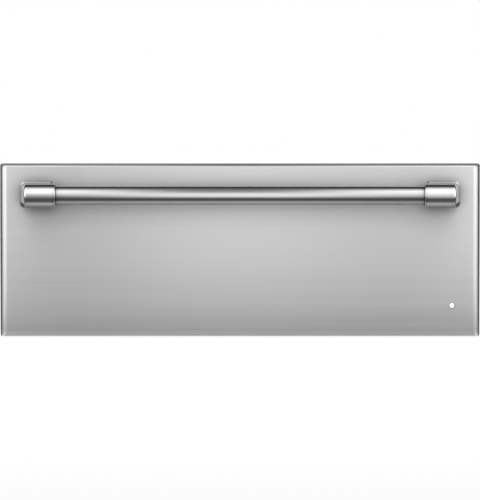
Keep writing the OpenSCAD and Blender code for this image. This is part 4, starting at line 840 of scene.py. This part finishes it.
knob = {
    "bore": 3.05 * mm, "sides": 72, "skirtThick": 6 * mm, "gripAt": 5.9 * mm,
    "skirt": ((0.4, 0), (0, 0.4), (0, 2.2), (0.3, 2.6), (1.5, 4.5), (2.2, 5.6), (2.8, 6)),
    "grip": ((0, 6.4, 12.6, 5.4), (0.04, 6.1, 12.4, 5.2), (0.5, 5.2, 12.0, 4.6),
             (0.88, 4.6, 11.7, 4.0), (0.96, 4.3, 11.4, 3.8), (1.0, 3.8, 10.9, 3.4)),
    "line": (0.5 * mm, 3.5 * mm, 10.4 * mm), "lineDeep": (0.3 * mm, 0.01 * mm),
    "marks": 11, "firstMark": -135, "markStep": 27, "markHalf": 0.18 * mm, "markIn": 1.55 * mm,
    "markAt": 4.5 * mm, "markSlope": 1.62, "markDeep": 0.2 * mm, "markHigh": 0.06 * mm,
}  # skirt: inset and depth in mm; grip: part of the depth, half width, half height and corner in mm


def makeKnob():
    low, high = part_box("temperature_knob")
    cx, cz = (low.x + high.x) / 2, (low.z + high.z) / 2
    radius = (high.x - low.x) / 2
    rear, face = high.y, low.y
    shape = [(radius - inset * mm, rear - depth * mm) for inset, depth in knob["skirt"]]
    shape = [(knob["bore"], rear)] + shape + [(knob["bore"], rear - knob["skirtThick"])]
    skirt = lathe(shape, (cx, 0, cz), "Y", knob["sides"])
    grip = []
    gripRear = rear - knob["gripAt"]
    for part, halfX, halfZ, corner in knob["grip"]:
        y = gripRear + (face - gripRear) * part
        grip.append([(x, y, z) for x, z in roundedRect(cx, cz, halfX * mm, halfZ * mm, corner * mm, 9)])
    addPiece("temperatureKnob", *merge([skirt, joinRings(grip)]), "temperature_knob", "knob",
             sharpAngle=45)
    half, start, end = knob["line"]
    corners = ((-half, start), (half, start), (half, end), (-half, end))
    marks = [joinRings([[(cx + x, face + deep, cz + z) for x, z in corners] for deep in knob["lineDeep"]])]
    for i in range(knob["marks"]):
        a = math.radians(knob["firstMark"] + knob["markStep"] * i)
        c, s = math.sin(a), math.cos(a)
        outer = radius - knob["markIn"]
        inner = outer - (1.5 if i % 5 == 0 else 1.0) * mm
        mark = []
        for along, side in ((outer, -1), (outer, 1), (inner, 1), (inner, -1)):
            across = side * knob["markHalf"]
            slope = rear - knob["markAt"] - (outer - along) * knob["markSlope"]
            mark.append((cx + along * c + across * s, slope, cz + along * s - across * c))
        marks.append(joinRings([[(x, y + shift, z) for x, y, z in mark]
                                for shift in (knob["markDeep"], -knob["markHigh"])]))
    addPiece("knobMarks", *merge(marks), None, "knob", pointerWhite, slot="control_white")


makeKnob()
print("knob: skirt, grip and marks")


# Screws with cross recesses, one for each CAD screw

screw = {
    "sides": 28, "thread": 0.12, "pitch": 0.55,
    "head": ((0.985, 0.0), (1.0, 0.10), (1.0, 0.45), (0.97, 0.66), (0.88, 0.84), (0.72, 0.95), (0.60, 1.0)),
    "reach": 0.50, "arm": 0.13, "hollow": 1.42, "taper": 0.62, "floor": 0.35,
}  # shares of the head's radius and height, and of the shank


def screwSolid(place, axis, toHead, headRadius, shank, length, headHeight):
    # pan head with a cross recess, and a threaded shank; built along +Z, then turned
    rings = []
    turns = max(3, int(length / (shank * screw["pitch"])))
    for i in range(turns * 2 + 1):
        r = shank * (1.0 - (screw["thread"] if i % 2 else 0.0))
        rings.append([(x, y, -length + length * i / (turns * 2)) for x, y in circle(r, screw["sides"])])
    for r, h in screw["head"]:
        rings.append([(x, y, headHeight * h) for x, y in circle(headRadius * r, screw["sides"])])
    # the recess: the top ring steps in to a cross outline, then down
    reach, half = headRadius * screw["reach"], headRadius * screw["arm"]
    cross = []
    for c, s in circle(1.0, screw["sides"]):
        tip = reach / max(abs(c), abs(s))
        flank = half / max(min(abs(c), abs(s)), 1e-6)
        r = min(tip, max(flank, half * screw["hollow"]))
        cross.append((r * c, r * s))
    taper = screw["taper"]
    rings.append([(x, y, headHeight) for x, y in cross])
    rings.append([(x * taper, y * taper, headHeight * screw["floor"]) for x, y in cross])
    verts, faces = joinRings(rings)
    turned = []
    for x, y, z in verts:
        p = [0, 0, 0]
        p[axis] = z * toHead
        p[(axis + 1) % 3] = x
        p[(axis + 2) % 3] = y * toHead
        turned.append((place[0] + p[0], place[1] + p[1], place[2] + p[2]))
    return turned, faces


def makeScrews(name, nodeName, body):
    parts = []
    for points in solidsOf(nodeName):
        low = [min(p[i] for p in points) for i in range(3)]
        high = [max(p[i] for p in points) for i in range(3)]
        size = [high[i] - low[i] for i in range(3)]
        gaps = {i: abs(size[(i + 1) % 3] - size[(i + 2) % 3]) for i in range(3)}
        axis = min(gaps, key=gaps.get)
        one, two = (axis + 1) % 3, (axis + 2) % 3
        middle = [(low[i] + high[i]) / 2 for i in range(3)]
        headRadius = size[one] / 2
        far = [(p[axis], math.dist((p[one], p[two]), (middle[one], middle[two]))) for p in points]
        wide = [along for along, away in far if away > headRadius * 0.97]
        toHead = 1 if sum(wide) / len(wide) > middle[axis] else -1
        seatAt = min(wide) if toHead > 0 else max(wide)
        shankAway = [away for along, away in far if (along - seatAt) * toHead < -0.2 * mm]
        shank = max(shankAway) if shankAway else headRadius * 0.5
        end, top = (low[axis], high[axis]) if toHead > 0 else (high[axis], low[axis])
        place = list(middle)
        place[axis] = seatAt
        parts.append(screwSolid(place, axis, toHead, headRadius, shank, abs(seatAt - end), abs(top - seatAt)))
    addPiece(name, *merge(parts), nodeName, body, sharpAngle=40)
    print("screws:", name, len(parts))


makeScrews("caseScrews", "case_screws", "casing")
makeScrews("drawerScrews", "drawer_screws", "drawer")
makeScrews("handleScrews", "handle_screws", "drawer")
makeScrews("footScrews", "foot_screws", "casing")


# Rubber feet

foot = {"bore": 1.95 * mm, "sink": 4.4 * mm, "web": 5 * mm, "soleRound": 1.2 * mm, "ribs": 3,
        "ribFirst": 4.0 * mm, "ribStep": 3.2 * mm, "ribHalf": 0.9 * mm, "ribDeep": 0.7 * mm,
        "lean": 2.1 * mm, "sides": 56}


def makeFeet():
    parts = []
    for points in solidsOf("feet"):
        low = Vector(min(p[i] for p in points) for i in range(3))
        high = Vector(max(p[i] for p in points) for i in range(3))
        cx, cy = (low.x + high.x) / 2, (low.y + high.y) / 2
        r, h = (high.x - low.x) / 2, high.z - low.z
        shape = [(foot["bore"], h - foot["web"]), (foot["sink"], h - foot["web"]),
                 (foot["sink"], 0.5 * mm), (5.0 * mm, 0), (r - 1.4 * mm, 0)]
        soft = foot["soleRound"]
        shape += arc(r - soft, soft, soft, -90, 0, 6)
        half, deep = foot["ribHalf"], foot["ribDeep"]
        for i in range(foot["ribs"]):
            z = foot["ribFirst"] + foot["ribStep"] * i
            base = r - 0.6 * mm - foot["lean"] * z / h
            shape += [(base, z - half), (base - deep, z - half / 2), (base - deep, z + half / 2),
                      (base - 0.1 * mm, z + half)]
        shape += [(r - 2.9 * mm, h - 1.0 * mm), (r - 3.5 * mm, h), (foot["bore"], h)]
        parts.append(lathe(shape, (cx, cy, low.z), "Z", foot["sides"]))
    addPiece("rubberFeet", *merge(parts), "feet", "casing", sharpAngle=50)


makeFeet()
print("feet")


# Woven gasket round the cavity mouth

gasket = {"width": 6.0 * mm, "corner": 8 * mm, "step": 1.5 * mm, "strands": 5, "pitch": 11 * mm,
          "weave": 0.07, "sides": 20}


def makeGasket():
    low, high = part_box("door_gasket")
    width = gasket["width"]
    deep = (high.y - low.y) / 2
    cx, cz = (low.x + high.x) / 2, (low.z + high.z) / 2
    hx, hz = (high.x - low.x) / 2 - width / 2, (high.z - low.z) / 2 - width / 2
    outline = roundedRect(cx, cz, hx, hz, gasket["corner"], 10)
    path = []
    for i, p in enumerate(outline):
        q = outline[(i + 1) % len(outline)]
        count = max(1, int(math.dist(p, q) / gasket["step"]))
        path += [(p[0] + (q[0] - p[0]) * k / count, p[1] + (q[1] - p[1]) * k / count) for k in range(count)]
    rings, travelled = [], 0.0
    midY = (low.y + high.y) / 2
    for i, p in enumerate(path):
        before, after = path[i - 1], path[(i + 1) % len(path)]
        dx, dz = after[0] - before[0], after[1] - before[1]
        size = math.hypot(dx, dz)
        nx, nz = dz / size, -dx / size
        travelled += math.dist(before, p)
        turn = math.pi * travelled / gasket["pitch"]
        ring = []
        for k in range(gasket["sides"]):
            a = 2 * math.pi * k / gasket["sides"]
            weave = 1 - gasket["weave"] * abs(math.sin(gasket["strands"] / 2 * a + turn))
            out = width / 2 * math.cos(a) * weave
            ring.append((p[0] + nx * out, midY + deep * math.sin(a) * weave, p[1] + nz * out))
        rings.append(ring)
    rings.append(rings[0])
    verts, faces = joinRings(rings, capped=False)
    addPiece("mouthGasket", verts, faces, "door_gasket", "casing", sharpAngle=80)


makeGasket()
print("gasket")


# Glass wool: the CAD slabs, softened and made uneven

wool = {"voxel": 5 * mm, "lump": 1.3 * mm, "grain": 0.03}


def makeWool(name, nodeName, body):
    source = nodes[nodeName]
    mesh = source.data.copy()
    mesh.name = name
    piece = addObject(name, mesh)
    weld = piece.modifiers.new("weld", "WELD")
    weld.merge_threshold = 1e-6
    remesh = piece.modifiers.new("remesh", "REMESH")
    remesh.mode = "VOXEL"
    remesh.voxel_size = wool["voxel"]
    soften = piece.modifiers.new("soften", "SMOOTH")
    soften.factor = 0.5
    soften.iterations = 2
    clumps = bpy.data.textures.new(name + "Clumps", "CLOUDS")
    clumps.noise_scale = wool["grain"]
    lumps = piece.modifiers.new("lumps", "DISPLACE")
    lumps.texture = clumps
    lumps.texture_coords = "LOCAL"
    lumps.mid_level = 0.75
    lumps.strength = wool["lump"]
    depsgraph = bpy.context.evaluated_depsgraph_get()
    made = bpy.data.meshes.new_from_object(piece.evaluated_get(depsgraph))
    piece.modifiers.clear()
    piece.data = made
    made.name = name
    made.shade_smooth()
    made.materials.clear()
    made.materials.append(finish["wool"])
    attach(piece, body)
    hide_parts(nodeName)
    print("wool:", name, len(made.polygons), "faces")


makeWool("cavityWool", "glass_wool", "casing")
makeWool("doorWool", "front_wool", "drawer")


# Contact pins in the power inlet

pins = {"places": ((-7, -2.2), (7, -2.2), (0, 3.4)), "half": (1.0, 2.0), "corner": 0.3,
        "rings": ((-18, 1), (-4.6, 1), (-4.1, 0.7))}  # in mm; rings: depth behind the rear face, and size


def makePins():
    low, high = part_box("power_inlet")
    cx, cz = (low.x + high.x) / 2, (low.z + high.z) / 2
    outline = roundedRect(0, 0, *pins["half"], pins["corner"], 3)
    parts = []
    for dx, dz in pins["places"]:
        parts.append(joinRings([[(cx + (dx + x * grow) * mm, high.y + y * mm, cz + (dz + z * grow) * mm)
                                 for x, z in outline] for y, grow in pins["rings"]]))
    addPiece("inletPins", *merge(parts), None, "casing", finish["brass_nut"], slot="brass_nut")


makePins()


# CAD nodes that stay: their doubled points are welded, which evens the shading

for node in nodes.values():
    if not node.hide_render:
        weld = node.modifiers.new("weld", "WELD")
        weld.merge_threshold = 2e-6
print("cad nodes kept:", sum(not n.hide_render for n in nodes.values()))


# Studio: floor, white surround, reflectors and soft lamps

studio = {"floorSize": 14.0, "floorTone": 0.86, "ambient": 0.62, "sky": (0.97, 0.985, 1.0, 1),
          "whiteShare": 0.82}  # how far the floor turns white to the camera; the rest keeps the shadow


def seenDirectly(tree):
    # 1 for rays from the camera and for those that metal or glass send on, 0 for light
    ray = addNode(tree, "ShaderNodeLightPath").outputs
    seen = mathNode(tree, "MAXIMUM", ray["Is Camera Ray"], ray["Is Glossy Ray"])
    return mathNode(tree, "MAXIMUM", seen, ray["Is Transmission Ray"])


def mixShaders(tree, part, first, second, out):
    mix = addNode(tree, "ShaderNodeMixShader", {0: part, 1: first.outputs[0], 2: second.outputs[0]})
    fill(tree, out, {"Surface": mix.outputs[0]})


def clearedTree(owner):
    owner.use_nodes = True
    owner.node_tree.nodes.clear()
    return owner.node_tree


def makeFloor():
    half = studio["floorSize"] / 2
    mesh = bpy.data.meshes.new("floor")
    mesh.from_pydata([(-half, -half, 0), (half, -half, 0), (half, half, 0), (-half, half, 0)], [],
                     [(0, 1, 2, 3)])
    floor = addObject("floor", mesh)
    material = bpy.data.materials.new("floorPaper")
    tree = clearedTree(material)
    out = addNode(tree, "ShaderNodeOutputMaterial")
    paper = addNode(tree, "ShaderNodeBsdfDiffuse", {"Color": (studio["floorTone"],) * 3 + (1,)})
    white = addNode(tree, "ShaderNodeEmission", {"Color": (1, 1, 1, 1), "Strength": 1.0})
    mixShaders(tree, mathNode(tree, "MULTIPLY", seenDirectly(tree), studio["whiteShare"]), paper, white, out)
    mesh.materials.append(material)


def makeWorld():
    world = bpy.data.worlds.new("studio")
    scene.world = world
    tree = clearedTree(world)
    out = addNode(tree, "ShaderNodeOutputWorld")
    soft = addNode(tree, "ShaderNodeBackground", {"Color": studio["sky"], "Strength": studio["ambient"]})
    white = addNode(tree, "ShaderNodeBackground", {"Color": (1, 1, 1, 1), "Strength": 1.0})
    mixShaders(tree, seenDirectly(tree), soft, white, out)


# Reflector tent, seen in reflections only: an arched screen round the bar, low along the floor, and
# dark flags before and behind the front. Tones go by the angle above the horizon, seen from the bar.

tent = {
    "radius": 1.0, "halfWidth": 2.6, "angleStep": 2.0, "columns": 104, "matHigh": 1.0 * mm,
    "middle": ((-128, 0.05), (-118, 0.07), (-106, 0.40), (-90, 0.66), (-70, 0.31), (-57, 0.11),
               (-42, 0.12), (-28, 0.30), (-16, 0.85), (-3, 1.28), (10, 1.38), (23, 1.22), (36, 0.82),
               (50, 0.47), (66, 0.32), (83, 0.24), (103, 0.19), (128, 0.20), (150, 0.16)),
    "left": ((-128, 0.05), (-118, 0.10), (-105, 0.42), (-90, 0.56), (-72, 0.28), (-58, 0.10),
             (-44, 0.10), (-30, 0.13), (-16, 0.27), (-3, 0.47), (10, 0.80), (23, 1.20), (36, 1.52),
             (50, 1.80), (60, 1.65), (70, 1.20), (80, 0.85), (90, 0.50), (104, 0.30), (128, 0.20),
             (150, 0.12)),
    "right": ((-128, 0.05), (-118, 0.10), (-105, 0.42), (-90, 0.56), (-72, 0.28), (-58, 0.10),
              (-44, 0.11), (-30, 0.17), (-16, 0.46), (-3, 0.79), (10, 1.03), (23, 1.30), (36, 1.56),
              (50, 1.80), (60, 1.65), (70, 1.20), (80, 0.85), (90, 0.50), (104, 0.30), (128, 0.20),
              (150, 0.12)),
    "side": ((-128, 0.10), (-84, 0.30), (-70, 0.30), (-52, 0.14), (-26, 0.20), (-4, 2.0),
             (50, 2.1), (94, 1.4), (104, 0.10), (150, 0.10)),
    "dip": ((-128, 0.10), (-84, 0.30), (-70, 0.30), (-52, 0.14), (-26, 0.20), (-4, 1.85),
            (50, 1.85), (94, 1.3), (104, 0.10), (150, 0.10)),
    "across": ((-1.70, "side"), (-1.45, "dip"), (-0.90, "dip"), (-0.70, "side"), (-0.60, "side"),
               (-0.44, "left"), (-0.31, "left"), (-0.12, "middle"), (0.07, "middle"), (0.275, "right"),
               (0.44, "right"), (0.60, "side"), (0.70, "side"), (0.90, "dip"), (1.45, "dip"), (1.70, "side")),
}
flags = [  # name, distance along Y, half width, height, tone, faces the front (1) or the object (-1)
    ("rearFlag", -0.19, 2.6, 1.8, 0.07, 1),
    ("lowFlag", -0.56, 2.6, 0.06, 0.08, -1),
]


def toneAt(profile, angle):
    for (low, lowTone), (high, highTone) in zip(profile, profile[1:]):
        if angle <= high:
            return lowTone + (highTone - lowTone) * max(0.0, angle - low) / (high - low)
    return profile[-1][1]


def glowMaterial(name, tone=None):
    # glows on its front alone; without a tone, each point has its own
    material = bpy.data.materials.new(name)
    tree = clearedTree(material)
    out = addNode(tree, "ShaderNodeOutputMaterial")
    if tone is None:
        tone = addNode(tree, "ShaderNodeAttribute", attribute_name="tone").outputs["Fac"]
    glow = addNode(tree, "ShaderNodeEmission", {"Color": (1.0, 1.0, 1.0, 1), "Strength": tone})
    clear = addNode(tree, "ShaderNodeBsdfTransparent")
    facing = addNode(tree, "ShaderNodeNewGeometry")
    mixShaders(tree, facing.outputs["Backfacing"], glow, clear, out)
    return material


def addScreen(name, verts, faces, material, tones=None):
    mesh = bpy.data.meshes.new(name)
    mesh.from_pydata(verts, [], faces)
    if tones:
        held = mesh.attributes.new("tone", "FLOAT", "POINT")
        held.data.foreach_set("value", tones)
    screen = addObject(name, mesh)
    mesh.materials.append(material)
    screen.visible_camera = False
    screen.visible_diffuse = False
    screen.visible_shadow = False
    screen.visible_transmission = False
    screen.visible_volume_scatter = False


def tentTone(x, angle):
    before = after = tent["across"][0]
    for after in tent["across"]:
        if x <= after[0]:
            break
        before = after
    reach = after[0] - before[0]
    part = min(1.0, max(0.0, (x - before[0]) / reach)) if reach else 1.0
    return toneAt(tent[before[1]], angle) * (1 - part) + toneAt(tent[after[1]], angle) * part


def makeTent():
    matZ = tent["matHigh"]
    first, last = tent["middle"][0][0], tent["middle"][-1][0]
    rows = int((last - first) / tent["angleStep"])
    columns = tent["columns"]
    verts, tones = [], []
    for i in range(rows + 1):
        angle = first + tent["angleStep"] * i
        a = math.radians(angle)
        y, z = axisY - tent["radius"] * math.cos(a), axisZ + tent["radius"] * math.sin(a)
        if z < matZ:
            y, z = axisY + (axisZ - matZ) / math.tan(a), matZ
        for k in range(columns + 1):
            x = tent["halfWidth"] * (2 * k / columns - 1)
            verts.append((x, y, z))
            tones.append(tentTone(x, angle))
    row = columns + 1
    faces = [(i * row + k, (i + 1) * row + k, (i + 1) * row + k + 1, i * row + k + 1)
             for i in range(rows) for k in range(columns)]
    addScreen("tent", verts, faces, glowMaterial("tentGlow"), tones)
    for name, y, half, high, tone, side in flags:
        corners = [(-half * side, y, 0), (half * side, y, 0), (half * side, y, high), (-half * side, y, high)]
        addScreen(name, corners, [(0, 1, 2, 3)], glowMaterial(name, tone))


lamps = [  # name, centre, aim, size, watts
    ("keyLamp", (0, -1.5, 1.75), (0, -0.27, 0.16), (3.0, 0.9), 34),
    ("leftLamp", (-2.1, -1.1, 0.9), (0, -0.2, 0.15), (0.8, 1.6), 14),
    ("rightLamp", (2.1, -1.1, 0.9), (0, -0.2, 0.15), (0.8, 1.6), 16),
    ("topLamp", (0, 0.2, 2.2), (0, 0.05, 0.1), (2.6, 1.6), 24),
]


def makeLamps():
    for name, centre, aim, size, watts in lamps:
        data = bpy.data.lights.new(name, "AREA")
        data.shape = "RECTANGLE"
        data.size, data.size_y = size
        data.energy = watts
        lamp = addObject(name, data)
        lamp.location = centre
        lamp.rotation_euler = (Vector(aim) - Vector(centre)).to_track_quat("-Z", "Y").to_euler()
        lamp.visible_glossy = False


makeFloor()
makeWorld()
makeTent()
makeLamps()
scene.view_settings.view_transform = "Standard"
print("studio ready")


# Camera, square on to the front and a little above it

view = {"distance": 6.5, "elevation": 2.8, "field": 787.85 * mm, "height": 138 * mm, "sensor": 36}


def makeCamera():
    data = bpy.data.cameras.new("camera")
    camera = addObject("camera", data)
    scene.camera = camera
    a = math.radians(view["elevation"])
    target = Vector((0, skinLow.y, view["height"]))
    back = Vector((0, -math.cos(a), math.sin(a)))
    camera.location = target + back * view["distance"]
    camera.rotation_euler = (-back).to_track_quat("-Z", "Y").to_euler()
    data.sensor_width = view["sensor"]
    data.lens = view["sensor"] * view["distance"] / view["field"]
    data.clip_start, data.clip_end = 1.0, 60.0


makeCamera()
